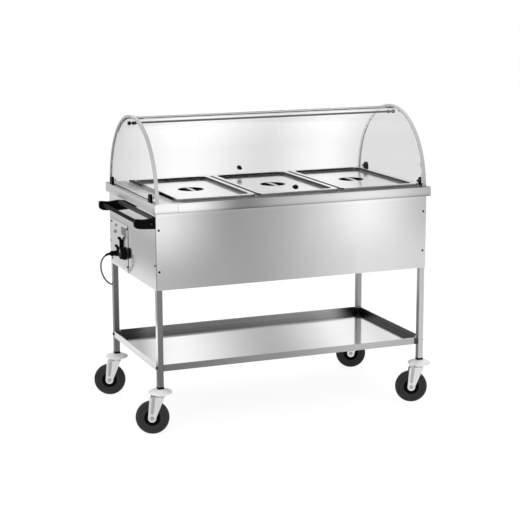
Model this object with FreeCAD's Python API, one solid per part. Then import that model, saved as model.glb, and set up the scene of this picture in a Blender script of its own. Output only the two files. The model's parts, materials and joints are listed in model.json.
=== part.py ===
import FreeCAD, Part
import math
import os

# A bain marie trolley for three full-size pans under a clear arched cover.
# X runs along the trolley, with the push handle on the -X end. Y runs across it, front to rear. Z is up.
# Everything is drawn about the middle of the body and moved at the end, so that the origin
# is on the floor under the middle of the whole trolley.

# Pans: standard full-size ones side by side, which set the size of the casing
pan_count = 3
pan_rim_width = 325.0
pan_rim_depth = 530.0
pan_gap = 10.0
pan_pitch = pan_rim_width + pan_gap
pans_middle_x = 27.0

# Casing and frame
end_margins = 83.0
side_margins = 45.0
body_length = pan_count * pan_pitch + end_margins
body_depth = pan_rim_depth + side_margins
top_height = 855.0
body_height = 317.0
body_bottom = top_height - body_height
casing_sheet = 1.2
top_sheet = 1.5
rim_drop = 35.0
rim_over_ends = 9.0
rim_over_sides = 22.0
rim_corner = 5.0
leg_side = 22.0
leg_wall = 1.5
fit_gap = 0.3
shaft_gap = 0.05

# Lower shelf
shelf_top = 261.5
shelf_wall_height = 25.0
shelf_sheet = 1.5
shelf_hem = 4.0
shelf_hem_height = 8.0
shelf_bolt_radius = 3.0
shelf_bolt_head_radius = 5.5
shelf_bolt_head_height = 4.0

# Pan bodies, lids and the water tank
pan_rim_corner = 18.0
pan_rim_height = 4.0
pan_rim_lip = 2.0
pan_sheet = 1.0
pan_deep = 150.0
pan_rim_lap = 12.0
pan_mouth_width = pan_rim_width - 2 * pan_rim_lap
pan_mouth_depth = pan_rim_depth - 2 * pan_rim_lap
pan_mouth_corner = 30.0
pan_taper = 10.0
opening_play = 4.0
opening_corner = 20.0
lid_inset = 1.0
lid_edge = 5.0
lid_sheet = 1.0
lid_flange = 18.0
lid_dish_corner = 25.0
lid_dish_deep = 13.0
grip_diameter = 100.0
grip_deep = 16.0
grip_bar_width = 14.0
grip_bar_height = 5.0
tank_gap = 4.5
tank_wall = 1.5
water_depth = 69.0
tank_floor = top_height + pan_rim_height - pan_deep - water_depth
tank_flange = 12.0
crossbar_play = 4.0
crossbar_width = pan_pitch - pan_mouth_width - crossbar_play
crossbar_web_height = 20.0
crossbar_tab = 10.0
crossbar_tab_height = 3.5
heater_radius = 4.25
heater_height = 20.0
heater_bend_radius = 80.0
heater_end_margin = 60.0
heater_tail = 22.0
heater_collar_radius = 9.0
heater_collar_length = 6.0
heater_foot_thickness = 4.0
heater_feet_x = (-60.0, 280.0)

# Drain
drain_x = 120.0
drain_y = 90.0
drain_pipe_radius = 10.65
drain_bore = 8.0
drain_drop = 29.0
drain_z = body_bottom - drain_drop
drain_valve_radius = 17.0
drain_valve_length = 40.0
drain_spigot_length = 28.0
drain_stem_out = 20.0
drain_stem_y = drain_y + drain_stem_out
drain_stem_radius = 4.0
drain_stem_depth = 7.0
drain_ball = 10.0
drain_lever_length = 90.0
drain_lever_width = 16.0
drain_lever_thickness = 4.0

# Control plate on the handle end
plate_width = 220.0
plate_height = 171.0
plate_from_rear = 17.5
plate_up = 11.0
plate_y1 = body_depth / 2 - plate_from_rear
plate_y0 = plate_y1 - plate_width
plate_z0 = body_bottom + plate_up
plate_z1 = plate_z0 + plate_height
plate_thickness = 1.5
plate_side_lap = 16.0
plate_edge_lap = 9.0
plate_screw_inset = 12.0
plate_front_inset = 7.0
knob_in = 40.0
knob_up = 59.0
knob_y = plate_y0 + knob_in
knob_z = plate_z0 + knob_up
knob_radius = 25.0
knob_skirt = 7.0
knob_height = 20.0
knob_body_radius = 21.0
knob_lift = 1.5
knob_shaft_radius = 3.0
knob_shaft_depth = 20.0
thermostat_side = 34.0
lamp_in = 153.0
lamp_up = 151.0
lamp_y = plate_y0 + lamp_in
lamp_z = plate_z0 + lamp_up
lamp_radius = 5.0
lamp_flange_radius = 6.5
lamp_flange = 2.0
lamp_lens_height = 3.0
lamp_deep = 25.0
button_in = 161.0
button_up = 125.0
button_y = plate_y0 + button_in
button_z = plate_z0 + button_up
button_radius = 4.5
button_proud = 5.0
button_length = 15.0
button_travel = 2.5
bezel_radius = 7.5
bezel_height = 3.0
bezel_barrel_radius = 6.0
bezel_floor = 9.0
hook_thickness = 7.0
hook_width = 10.0
hook_reach = 16.0
hook_bevel = 4.0
hook_height = 47.0
upper_hook_in = 74.0
upper_hook_up = 73.0
lower_hook_in = 114.0
lower_hook_up = 36.0
side_hooks = (
    (plate_y0 + upper_hook_in, plate_z0 + upper_hook_up),
    (plate_y0 + lower_hook_in, plate_z0 + lower_hook_up),
)
gland_in = 143.0
gland_up = 42.0
gland_y = plate_y0 + gland_in
gland_z = plate_z0 + gland_up
gland_nut_radius = 12.0
gland_nut_length = 9.0
gland_taper_radius = 8.5
gland_length = 19.5

# Supply cord: its free stretch, the coil on the rear hook and the plug.
# The route is taken from the lower rear corner of the casing on the handle end
cord_radius = 3.25
cord_route = (
    (-35.0, -94.5, 53.0),
    (-48.0, -94.0, 47.9),
    (-58.5, -93.0, 38.0),
    (-65.3, -90.5, 23.3),
    (-65.8, -84.0, 2.5),
    (-60.0, -72.0, -21.0),
    (-47.0, -53.0, -45.0),
    (-28.0, -27.0, -69.0),
    (-5.0, 3.5, -88.5),
    (15.0, 33.5, -99.0),
    (27.0, 51.5, -95.0),
    (36.0, 66.5, -82.0),
    (41.0, 76.0, -62.0),
    (41.5, 77.0, -36.0),
    (42.0, 71.5, -6.0),
    (43.5, 59.5, 26.0),
    (48.5, 43.5, 57.0),
    (57.5, 25.5, 85.0),
)
cord_last_run = 26.0
coil_in = 114.0
coil_up = 144.5
coil_x = -body_length / 2 + coil_in
coil_z = body_bottom + coil_up
coil_turns = 5.5
coil_pitch = 7.3
coil_least_radius = 26.0
coil_off_panel = 7.0
rear_hook_width = 14.0
rear_hook_thickness = 5.0
rear_hook_reach = 26.0
rear_hook_tip = 9.0
rear_hook_drop = 40.0
plug_radius = 14.0
plug_length = 32.0
plug_relief_length = 32.0
plug_pin_radius = 2.4
plug_pin_length = 19.0
plug_pin_spacing = 19.0

# Push handle on the -X end
handle_drop = 91.0
handle_bottom = top_height - handle_drop
handle_span = 462.5
handle_front_y = -body_depth / 2
handle_rear_y = handle_front_y + handle_span
bracket_width = 18.0
bracket_outline = (
    (0.0, 0.0),
    (0.0, 40.0),
    (20.0, 37.5),
    (40.0, 36.0),
    (56.0, 37.5),
    (62.0, 39.0),
    (72.0, 39.0),
    (77.0, 35.0),
    (77.0, 17.0),
    (73.0, 9.5),
    (64.0, 5.0),
    (50.0, 3.0),
)
bracket_pin_reach = 14.0
bracket_pin_up = 19.0
tube_out = 62.0
tube_up = 26.0
tube_z = handle_bottom + tube_up
tube_radius = 7.0
tube_wall = 1.5
tube_socket = 10.0
rail_up = 27.0
rail_height = 15.0
rail_thickness = 5.0

# Casing screws
screw_radius = 2.0
screw_head_radius = 4.5
screw_head_height = 2.6
screw_bite = 3.0
upper_screws_up = 220.0
lower_screws_up = 68.0
end_screws_up = 90.0
side_screw_heights = (body_bottom + upper_screws_up, body_bottom + lower_screws_up)
end_screw_height = body_bottom + end_screws_up

# Arched cover
dome_over_sides = 1.0
dome_radius = body_depth / 2 + dome_over_sides
dome_sheet = 4.0
dome_end_inset = 3.0
dome_end_x = body_length / 2 - dome_end_inset
dome_end_sheet = 12.0
dome_end_proud = 9.0
ridge_half_width = 29.0
hinge_radius = 3.5
hinge_pin_radius = 1.5
hinge_end_length = 30.0
hinge_pin_reach = 25.0
tie_rod_drop = 29.5
tie_rod_height = top_height + dome_radius - tie_rod_drop
tie_rod_radius = 3.0
tie_nut_radius = 7.0
tie_nut_length = 9.0
tie_bush_radius = 6.0
tie_bush_length = 12.0
flap_knob_height = 28.0
flap_knob_stem_radius = 4.5
flap_knob_stem = 8.0
flap_knob_radius = 9.0
flap_knob_length = 18.0
flap_nut_radius = 6.0
flap_nut_height = 4.0
clip_in = 49.0
clip_y = dome_radius - clip_in
clip_width = 26.0
clip_height = 29.0
clip_thickness = 10.0
clip_screw_height = 15.0
clip_screw_bite = 7.0
clip_screw_head_radius = 5.0
clip_screw_head_height = 2.0

# Swivel castors, turned as they stand
castor_turn = 157.4
wheel_radius = 62.5
wheel_trail = 30.0
tyre_width = 32.0
tyre_inner_radius = 30.0
tyre_round = 6.0
hub_width = 36.0
hub_web = 14.0
hub_rim = 4.0
hub_boss_radius = 11.0
axle_radius = 4.0
axle_head_radius = 7.5
axle_head_length = 5.0
fork_side_gap = 0.5
fork_sheet = 3.0
fork_over_wheel = 17.0
fork_top = 2 * wheel_radius + fork_over_wheel
fork_back = 14.0
fork_front = 36.0
fork_end_radius = 15.0
fork_crown_radius = 20.0
fork_crown_height = 12.0
fork_rib_width = 12.0
fork_rib_height = 2.0
bumper_radius = 44.0
bumper_edge = 6.0
bumper_height = 16.0
bumper_neck_radius = 16.0
bumper_bottom = fork_top + fork_crown_height
bumper_top = bumper_bottom + bumper_height
insert_flange = 8.0
insert_plug = 32.0
leg_bottom = bumper_top + insert_flange
stem_radius = 6.0
stem_in_insert = 24.0
stem_head_radius = 12.0
stem_head_height = 5.0

vec = FreeCAD.Vector
end_x = body_length / 2
side_y = body_depth / 2
leg_x = end_x - casing_sheet - leg_side / 2
leg_y = side_y - casing_sheet - leg_side / 2
rim_bottom = top_height - rim_drop
under_top = top_height - top_sheet
opening_length = (pan_count - 1) * pan_pitch + pan_mouth_width + opening_play
opening_depth = pan_mouth_depth + opening_play
tank_x0 = pans_middle_x - opening_length / 2 - tank_gap
tank_y1 = opening_depth / 2 + tank_gap
pan_xs = [pans_middle_x + (i - (pan_count - 1) / 2) * pan_pitch for i in range(pan_count)]
crossbar_xs = [(a + b) / 2 for a, b in zip(pan_xs, pan_xs[1:])]
leg_places = [(sx * leg_x, sy * leg_y) for sx in (-1, 1) for sy in (-1, 1)]
sheet_radius = dome_radius - dome_end_proud
sheet_x = dome_end_x - dome_end_sheet
dome_inner = sheet_radius - dome_sheet
hinge_ring = sheet_radius - dome_sheet / 2
hinge_z = top_height + math.sqrt(hinge_ring ** 2 - ridge_half_width ** 2)
cord_start = (-end_x - plate_thickness - gland_length, gland_y, gland_z)


def block(x0, x1, y0, y1, z0, z1):
    return Part.makeBox(x1 - x0, y1 - y0, z1 - z0, vec(x0, y0, z0))


def rod(radius, start, end):
    start, end = vec(*start), vec(*end)
    return Part.makeCylinder(radius, (end - start).Length, start, end - start)


def rod_x(radius, x0, x1, y, z):
    return rod(radius, (x0, y, z), (x1, y, z))


def rod_z(radius, x, y, z0, z1):
    return rod(radius, (x, y, z0), (x, y, z1))


def cone(radius0, radius1, start, end):
    start, end = vec(*start), vec(*end)
    return Part.makeCone(radius0, radius1, (end - start).Length, start, end - start)


def joined(shapes):
    return shapes[0].fuse(shapes[1:]).removeSplitter()


def group(solids):
    return Part.makeCompound(solids)


def prism(points, along):
    corners = [vec(*point) for point in points]
    return Part.Face(Part.makePolygon(corners + corners[:1])).extrude(vec(*along))


def rounded_wire(middle_x, middle_y, width, depth, corner, z):
    x1, y1 = width / 2, depth / 2
    slant = corner * (1 - math.sqrt(0.5))
    edges = []
    for sx, sy in ((1, 1), (-1, 1), (-1, -1), (1, -1)):
        side = vec(middle_x + sx * x1, middle_y + sy * (y1 - corner), z)
        mid = vec(middle_x + sx * (x1 - slant), middle_y + sy * (y1 - slant), z)
        flat = vec(middle_x + sx * (x1 - corner), middle_y + sy * y1, z)
        ends = (side, flat) if sx == sy else (flat, side)
        edges.append(Part.Arc(ends[0], mid, ends[1]).toShape())
    wire = []
    for edge, after in zip(edges, edges[1:] + edges[:1]):
        wire.append(edge)
        a, b = edge.Vertexes[-1].Point, after.Vertexes[0].Point
        if (b - a).Length > 1e-6:
            wire.append(Part.LineSegment(a, b).toShape())
    return Part.Wire(wire)


def rounded_block(middle_x, middle_y, width, depth, corner, z0, z1):
    wire = rounded_wire(middle_x, middle_y, width, depth, corner, z0)
    return Part.Face(wire).extrude(vec(0, 0, z1 - z0))


def out(distance, y, z):
    return (-end_x - plate_thickness - distance, y, z)


def plate_rod(radius, y, z, start, end):
    return rod(radius, out(start, y, z), out(end, y, z))


def screw(place, outward, bite):
    place, outward = vec(*place), vec(*outward)
    head = cone(screw_head_radius, screw_head_radius * 0.75, place, place + outward * screw_head_height)
    shank = rod(screw_radius, place, place - outward * bite)
    return joined([head, shank])


def screw_hole(place, outward, bite):
    place, outward = vec(*place), vec(*outward)
    return rod(screw_radius + shaft_gap, place + outward, place - outward * (bite + shaft_gap))


# Casing screws: two rows down each corner of the long sides, one each side of the ends
panel_bite = casing_sheet + leg_wall + screw_bite
side_screws = [((sx * leg_x, sy * side_y, z), (0, sy, 0))
               for sx in (-1, 1) for sy in (-1, 1) for z in side_screw_heights]
end_screws = [((sx * end_x, sy * leg_y, end_screw_height), (sx, 0, 0)) for sx in (-1, 1) for sy in (-1, 1)]
plate_screws = [(out(0, y, z), (-1, 0, 0))
                for y in (plate_y0 + plate_front_inset, plate_y1 - plate_screw_inset)
                for z in (plate_z0 + plate_screw_inset, plate_z1 - plate_screw_inset)]
plate_bite = plate_thickness + casing_sheet + screw_bite
bracket_pins = [((-end_x - bracket_pin_reach, handle_front_y, handle_bottom + bracket_pin_up), (0, -1, 0)),
                ((-end_x - bracket_pin_reach, handle_rear_y, handle_bottom + bracket_pin_up), (0, 1, 0))]
bracket_bite = bracket_width * 0.6


def casing_screws():
    solids = [screw(place, outward, panel_bite) for place, outward in side_screws + end_screws]
    solids += [screw(place, outward, plate_bite) for place, outward in plate_screws]
    solids += [screw(place, outward, bracket_bite) for place, outward in bracket_pins]
    for sx in (-1, 1):
        for sy in (-1, 1):
            inner = sx * sheet_x
            z = top_height + clip_screw_height
            head = cone(clip_screw_head_radius * 0.75, clip_screw_head_radius,
                        (inner - sx * clip_screw_head_height, sy * clip_y, z), (inner, sy * clip_y, z))
            end = sx * (dome_end_x + clip_screw_bite)
            solids.append(joined([head, rod_x(screw_radius, inner, end, sy * clip_y, z)]))
    return group(solids)


def legs():
    solids = []
    inner = leg_side / 2 - leg_wall
    outer = leg_side / 2
    holes = [screw_hole(place, outward, panel_bite) for place, outward in side_screws + end_screws]
    for x, y in leg_places:
        tube = block(x - outer, x + outer, y - outer, y + outer, leg_bottom, under_top)
        bore = block(x - inner, x + inner, y - inner, y + inner, leg_bottom, under_top)
        solids.append(tube.cut([bore, shelf_bolt_hole(x, y)] + holes))
    return group(solids)


def shelf_bolt_z():
    return shelf_top - shelf_wall_height / 2


def shelf_bolt_hole(x, y):
    return rod_x(shelf_bolt_radius + shaft_gap, x - leg_side, x + leg_side, y, shelf_bolt_z())


def cross_block(half_x, half_y, notch_x, notch_y, z0, z1):
    return block(-half_x, half_x, -notch_y, notch_y, z0, z1).fuse(
        block(-notch_x, notch_x, -half_y, half_y, z0, z1)).removeSplitter()


def lower_shelf():
    half_x, half_y = end_x - casing_sheet, side_y - casing_sheet
    notch_x, notch_y = leg_x - leg_side / 2, leg_y - leg_side / 2
    floor = shelf_top - shelf_wall_height
    tray = cross_block(half_x, half_y, notch_x, notch_y, floor, shelf_top)
    under_hem = shelf_top - shelf_hem_height
    t, hem = shelf_sheet, shelf_hem
    inside = cross_block(half_x - t, half_y - t, notch_x - t, notch_y - t, floor + t, under_hem)
    mouth = cross_block(half_x - hem, half_y - hem, notch_x - hem, notch_y - hem, floor + t, shelf_top)
    holes = [shelf_bolt_hole(x, y) for x, y in leg_places]
    return tray.cut([inside.fuse(mouth)] + holes)


def shelf_bolts():
    solids = []
    for x, y in leg_places:
        side = math.copysign(1, x)
        z = shelf_bolt_z()
        face = x + side * leg_side / 2
        head = cone(shelf_bolt_head_radius, shelf_bolt_head_radius * 0.8, (face, y, z),
                    (face + side * shelf_bolt_head_height, y, z))
        end = x - side * (leg_side / 2 + shelf_hem)
        solids.append(joined([head, rod(shelf_bolt_radius, (face, y, z), (end, y, z))]))
    return group(solids)


def side_panel(sy):
    y0, y1 = sorted((sy * side_y, sy * (side_y - casing_sheet)))
    sheet = block(-end_x, end_x, y0, y1, body_bottom, under_top)
    return sheet.cut([screw_hole(place, outward, panel_bite) for place, outward in side_screws])


def end_panel(sx):
    x0, x1 = sorted((sx * end_x, sx * (end_x - casing_sheet)))
    inner_y = side_y - casing_sheet
    sheet = block(x0, x1, -inner_y, inner_y, body_bottom, under_top)
    cuts = [screw_hole(place, outward, panel_bite) for place, outward in end_screws]
    if sx < 0:
        cuts += [screw_hole(place, outward, plate_bite) for place, outward in plate_screws]
        cuts.append(block(x0 - 1, x1 + 1, plate_y0 + plate_side_lap, plate_y1 - plate_side_lap,
                          plate_z0 + plate_edge_lap, plate_z1 - plate_edge_lap))
    return sheet.cut(cuts)


def base_plate():
    inner_x, inner_y = end_x - casing_sheet, side_y - casing_sheet
    sheet = block(-inner_x, inner_x, -inner_y, inner_y, body_bottom, body_bottom + casing_sheet)
    reach = leg_side / 2 + fit_gap
    cuts = [block(x - reach, x + reach, y - reach, y + reach, body_bottom, under_top) for x, y in leg_places]
    cuts.append(rod(drain_pipe_radius + fit_gap, (drain_x, drain_y, body_bottom - 1),
                    (drain_x, drain_y, body_bottom + casing_sheet + 1)))
    return sheet.cut(cuts)


def worktop():
    width, depth = 2 * (end_x + rim_over_ends), 2 * (side_y + rim_over_sides)
    t = top_sheet
    outer = rounded_block(0, 0, width, depth, rim_corner, rim_bottom, top_height)
    hollow = rounded_block(0, 0, width - 2 * t, depth - 2 * t, rim_corner - t, rim_bottom, under_top)
    mouth = rounded_block(pans_middle_x, 0, opening_length, opening_depth, opening_corner,
                          under_top, top_height)
    return outer.cut([hollow, mouth])


def water_tank():
    inner_x, inner_y = opening_length + 2 * tank_gap, 2 * tank_y1
    corner = opening_corner + tank_gap

    def ring(grow, z0, z1):
        return rounded_block(pans_middle_x, 0, inner_x + 2 * grow, inner_y + 2 * grow, corner + grow, z0, z1)

    shell = ring(tank_wall, tank_floor - tank_wall, under_top).fuse(
        ring(tank_wall + tank_flange, under_top - tank_wall, under_top))
    drain_hole = rod(drain_bore, (drain_x, drain_y, tank_floor - tank_wall), (drain_x, drain_y, tank_floor))
    cuts = [ring(0, tank_floor, under_top), drain_hole]
    for y in (-heater_bend_radius, heater_bend_radius):
        z = tank_floor + heater_height
        cuts.append(rod(heater_radius + shaft_gap, (tank_x0 - tank_wall - 1, y, z), (tank_x0 + 1, y, z)))
    tabs = []
    for x in crossbar_xs:
        for sy in (-1, 1):
            y0, y1 = sorted((sy * (tank_y1 + tank_wall / 2), sy * (opening_depth / 2 - crossbar_tab)))
            half = crossbar_width / 2
            tabs.append(block(x - half, x + half, y0, y1, under_top - crossbar_tab_height, under_top))
    return joined([shell.cut(cuts)] + tabs)


def crossbars():
    solids = []
    for x in crossbar_xs:
        half, reach = crossbar_width / 2, opening_depth / 2 - fit_gap
        web_y = opening_depth / 2 - crossbar_tab - 2
        bar = block(x - half, x + half, -reach, reach, under_top, top_height)
        web_in, web_out = half - 2 * top_sheet - 2, half - top_sheet - 2
        webs = [block(x + a, x + b, -web_y, web_y, under_top - crossbar_web_height, under_top)
                for a, b in ((-web_out, -web_in), (web_in, web_out))]
        solids.append(joined([bar] + webs))
    return group(solids)


def pan(x):
    z = top_height + pan_rim_height

    def cup(shrink, floor):
        width, depth = pan_mouth_width - 2 * shrink, pan_mouth_depth - 2 * shrink
        low = rounded_wire(x, 0, width - 2 * pan_taper, depth - 2 * pan_taper, pan_mouth_corner, floor)
        high = rounded_wire(x, 0, width, depth, pan_mouth_corner, z)
        return Part.makeLoft([low, high], True, True)

    rim = rounded_block(x, 0, pan_rim_width, pan_rim_depth, pan_rim_corner, top_height, z)
    under = rounded_block(x, 0, pan_rim_width - 2 * pan_rim_lip, pan_rim_depth - 2 * pan_rim_lip,
                          pan_rim_corner - pan_rim_lip, top_height, z - pan_sheet)
    shell = joined([rim.cut(under), cup(0, z - pan_deep)])
    return shell.cut(cup(pan_sheet, z - pan_deep + pan_sheet))


def lid(x):
    seat = top_height + pan_rim_height
    top = seat + lid_edge
    dish_floor = top - lid_dish_deep
    width, depth = pan_rim_width - 2 * lid_inset, pan_rim_depth - 2 * lid_inset
    dish_width, dish_depth = width - 2 * lid_flange, depth - 2 * lid_flange
    t = lid_sheet

    def plate(w, d, corner, z0, z1):
        return rounded_block(x, 0, w, d, corner, z0, z1)

    grip_floor = dish_floor - grip_deep
    grip_radius = grip_diameter / 2
    dish = plate(dish_width, dish_depth, lid_dish_corner, dish_floor - t, top)
    grip = rod_z(grip_radius + t, x, 0, grip_floor - t, dish_floor)
    solid = joined([plate(width, depth, pan_rim_corner, seat, top), dish, grip])
    under = plate(width - 2 * t, depth - 2 * t, pan_rim_corner - t, seat, top - t).cut(dish)
    hollow = plate(dish_width - 2 * t, dish_depth - 2 * t, lid_dish_corner - t, dish_floor, top)
    grip_hollow = rod_z(grip_radius, x, 0, grip_floor, dish_floor)
    bar = block(x - grip_bar_width / 2, x + grip_bar_width / 2, -grip_radius, grip_radius,
                dish_floor - grip_bar_height, dish_floor)
    return joined([solid.cut([under, hollow, grip_hollow]), bar])


def heating_element():
    z = tank_floor + heater_height
    x0 = tank_x0 - tank_wall - heater_tail
    x1 = tank_x0 + opening_length - heater_end_margin - heater_bend_radius
    b = heater_bend_radius
    path = Part.Wire([
        Part.LineSegment(vec(x0, -b, z), vec(x1, -b, z)).toShape(),
        Part.Arc(vec(x1, -b, z), vec(x1 + b, 0, z), vec(x1, b, z)).toShape(),
        Part.LineSegment(vec(x1, b, z), vec(x0, b, z)).toShape()])
    section = Part.Wire(Part.makeCircle(heater_radius, vec(x0, -b, z), vec(1, 0, 0)))
    tube = path.makePipeShell([section], True, False)
    wall = tank_x0 - tank_wall
    collars = [rod(heater_collar_radius, (wall - heater_collar_length, y, z), (wall, y, z)) for y in (-b, b)]
    feet = [block(x, x + heater_foot_thickness, -b - heater_collar_radius, b + heater_collar_radius,
                  tank_floor, z - heater_radius - fit_gap) for x in heater_feet_x]
    return group([joined([tube] + collars)] + feet)


def drain_valve():
    y0, y1 = drain_y - drain_valve_radius, drain_y + drain_valve_length
    end = y1 + drain_spigot_length
    pipe = rod_z(drain_pipe_radius, drain_x, drain_y, drain_z, tank_floor - tank_wall)
    body = rod(drain_valve_radius, (drain_x, y0, drain_z), (drain_x, y1, drain_z))
    spigot = rod(drain_pipe_radius, (drain_x, y1, drain_z), (drain_x, end, drain_z))
    low = drain_z - drain_valve_radius
    # The ball stands shut between the pipe and the spigot
    cuts = [rod_z(drain_bore, drain_x, drain_y, drain_z, tank_floor),
            rod(drain_bore, (drain_x, drain_stem_y + drain_ball, drain_z), (drain_x, end, drain_z)),
            rod_z(drain_stem_radius + shaft_gap, drain_x, drain_stem_y, low - 1, low + drain_stem_depth)]
    return joined([pipe, body, spigot]).cut(cuts)


def drain_lever():
    y, low, half = drain_stem_y, drain_z - drain_valve_radius, drain_lever_width / 2
    z1 = low - fit_gap
    z0 = z1 - drain_lever_thickness
    stem = rod_z(drain_stem_radius, drain_x, y, z0, low + drain_stem_depth - fit_gap)
    hub = rod_z(half, drain_x, y, z0, z1)
    arm = block(drain_x, drain_x + drain_lever_length, y - half, y + half, z0, z1)
    return joined([stem, hub, arm])


def control_plate():
    plate = block(-end_x - plate_thickness, -end_x, plate_y0, plate_y1, plate_z0, plate_z1)
    cuts = [screw_hole(place, outward, plate_bite) for place, outward in plate_screws]
    for y, z, radius in ((knob_y, knob_z, knob_shaft_radius + fit_gap),
                         (lamp_y, lamp_z, lamp_radius + shaft_gap),
                         (button_y, button_z, bezel_barrel_radius + shaft_gap)):
        cuts.append(plate_rod(radius, y, z, 1, -plate_thickness - 1))
    return plate.cut(cuts)


def thermostat():
    half = thermostat_side / 2
    body = block(-end_x, -end_x + thermostat_side, knob_y - half, knob_y + half,
                 knob_z - half, knob_z + half)
    return body.cut(plate_rod(knob_shaft_radius + shaft_gap, knob_y, knob_z, 0, -knob_shaft_depth - fit_gap))


def thermostat_knob():
    skirt = plate_rod(knob_radius, knob_y, knob_z, knob_lift, knob_lift + knob_skirt)
    cap = cone(knob_body_radius + 1, knob_body_radius, out(knob_lift + knob_skirt, knob_y, knob_z),
               out(knob_height, knob_y, knob_z))
    x = out(knob_height, 0, 0)[0]
    pointer = block(x - 1.5, x + 1, knob_y - 2, knob_y + 2, knob_z, knob_z + knob_body_radius - 1)
    shaft = plate_rod(knob_shaft_radius, knob_y, knob_z, -knob_shaft_depth, knob_height / 2)
    return joined([skirt, cap, pointer, shaft])


def pilot_lamp():
    flange = plate_rod(lamp_flange_radius, lamp_y, lamp_z, 0, lamp_flange)
    lens = cone(lamp_radius, lamp_radius * 0.6, out(lamp_flange, lamp_y, lamp_z),
                out(lamp_flange + lamp_lens_height, lamp_y, lamp_z))
    barrel = plate_rod(lamp_radius, lamp_y, lamp_z, -lamp_deep, 0)
    return joined([flange, lens, barrel])


def button_bezel():
    flange = plate_rod(bezel_radius, button_y, button_z, 0, bezel_height)
    floor = button_proud - button_length - button_travel - fit_gap
    barrel = plate_rod(bezel_barrel_radius, button_y, button_z, floor - bezel_floor, 0)
    bore = plate_rod(button_radius + shaft_gap, button_y, button_z, floor, bezel_height + 1)
    return joined([flange, barrel]).cut(bore)


def power_button():
    return plate_rod(button_radius, button_y, button_z, button_proud - button_length, button_proud)


def coil_radius(angle):
    reverse = coil_turns * math.pi
    return coil_least_radius + coil_pitch * abs(angle - reverse) / (2 * math.pi)


def coil_layer_y(layer):
    return side_y + coil_off_panel + layer * coil_pitch


def cord_hooks():
    t, r, b, h = hook_thickness, hook_reach, hook_bevel, hook_height
    solids = []
    for y, z in side_hooks:
        profile = ((0, z), (t, z), (t, z + h - t - b), (t + b, z + h - t), (r, z + h - t),
                   (r, z + h - 1), (r - 1, z + h), (b, z + h), (0, z + h - b))
        solids.append(prism([out(p, y - hook_width / 2, q) for p, q in profile], (0, hook_width, 0)))
    # The rear hook carries the coil at the inner side of its turns, above the middle of the coil
    carried = coil_least_radius + coil_pitch / 2 - cord_radius - fit_gap
    top = coil_z + math.sqrt(carried ** 2 - (rear_hook_width / 2) ** 2)
    t, r = rear_hook_thickness, rear_hook_reach
    profile = ((0, top), (0, top - rear_hook_drop), (t, top - rear_hook_drop), (t, top - t),
               (r, top - t), (r, top + rear_hook_tip), (r - t, top + rear_hook_tip), (r - t, top))
    x0 = coil_x - rear_hook_width / 2
    solids.append(prism([(x0, side_y + p, q) for p, q in profile], (rear_hook_width, 0, 0)))
    return group(solids)


def cable_gland():
    corners = [(gland_nut_radius * math.cos(k * math.pi / 3), gland_nut_radius * math.sin(k * math.pi / 3))
               for k in range(6)]
    nut = prism([out(0, gland_y + a, gland_z + b) for a, b in corners], (-gland_nut_length, 0, 0))
    taper = cone(gland_taper_radius, cord_radius + 1.2, out(gland_nut_length, gland_y, gland_z),
                 out(gland_length, gland_y, gland_z))
    return joined([nut, taper])


def rounded_path(points):
    # Straight runs joined by tangent arcs, each arc as large as its two runs allow
    points = [vec(*point) for point in points]
    edges, radii, here = [], [], points[0]
    for before, corner, after in zip(points, points[1:], points[2:]):
        into, away = corner - before, after - corner
        reach = 0.45 * min(into.Length, away.Length)
        into.normalize()
        away.normalize()
        half_turn = into.getAngle(away) / 2
        radius = reach / math.tan(half_turn)
        inward = (away - into).normalize()
        middle = corner + inward * (radius / math.cos(half_turn) - radius)
        begin, end = corner - into * reach, corner + away * reach
        edges.append(Part.LineSegment(here, begin).toShape())
        edges.append(Part.Arc(begin, middle, end).toShape())
        radii.append(radius)
        here = end
    edges.append(Part.LineSegment(here, points[-1]).toShape())
    return Part.Wire(edges), radii


def tube_on(path, start, heading):
    section = Part.Wire(Part.makeCircle(cord_radius, vec(*start), vec(*heading)))
    tube = path.makePipeShell([section], True, False)
    share = tube.Volume / (math.pi * cord_radius ** 2 * path.Length)
    print("cord length", round(path.Length, 1), "volume over section times length", round(share, 4))
    return tube


def power_cord():
    x1 = coil_x - coil_radius(0)
    y1 = coil_layer_y(0)
    z1 = coil_z - 2 * cord_radius
    route = tuple((x - end_x, y + side_y, z + body_bottom) for x, y, z in cord_route)
    points = (cord_start,) + route + ((x1, y1, z1 - cord_last_run), (x1, y1, z1))
    path, radii = rounded_path(points)
    print("cord bend radii", [round(radius, 1) for radius in radii])
    return tube_on(path, cord_start, (-1, 0, 0))


def coil_point(angle):
    # The turns spiral in on the layer by the panel and out again on the outer one
    reverse = coil_turns * math.pi
    climb = min(1, max(0, (angle - reverse) / math.pi + 0.5))
    y = coil_layer_y(climb)
    radius = coil_radius(angle)
    return vec(coil_x - radius * math.cos(angle), y, coil_z + radius * math.sin(angle))


def coil_heading(angle):
    reverse, last = coil_turns * math.pi, 2 * coil_turns * math.pi
    steady = min(angle, last - angle, abs(angle - reverse)) > 1e-6
    growth = math.copysign(coil_pitch / (2 * math.pi), angle - reverse) if steady else 0
    rise = coil_pitch / math.pi if abs(angle - reverse) < math.pi / 4 else 0
    radius = coil_radius(angle)
    heading = vec(radius * math.sin(angle) - growth * math.cos(angle), rise,
                  radius * math.cos(angle) + growth * math.sin(angle))
    return heading.normalize()


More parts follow.
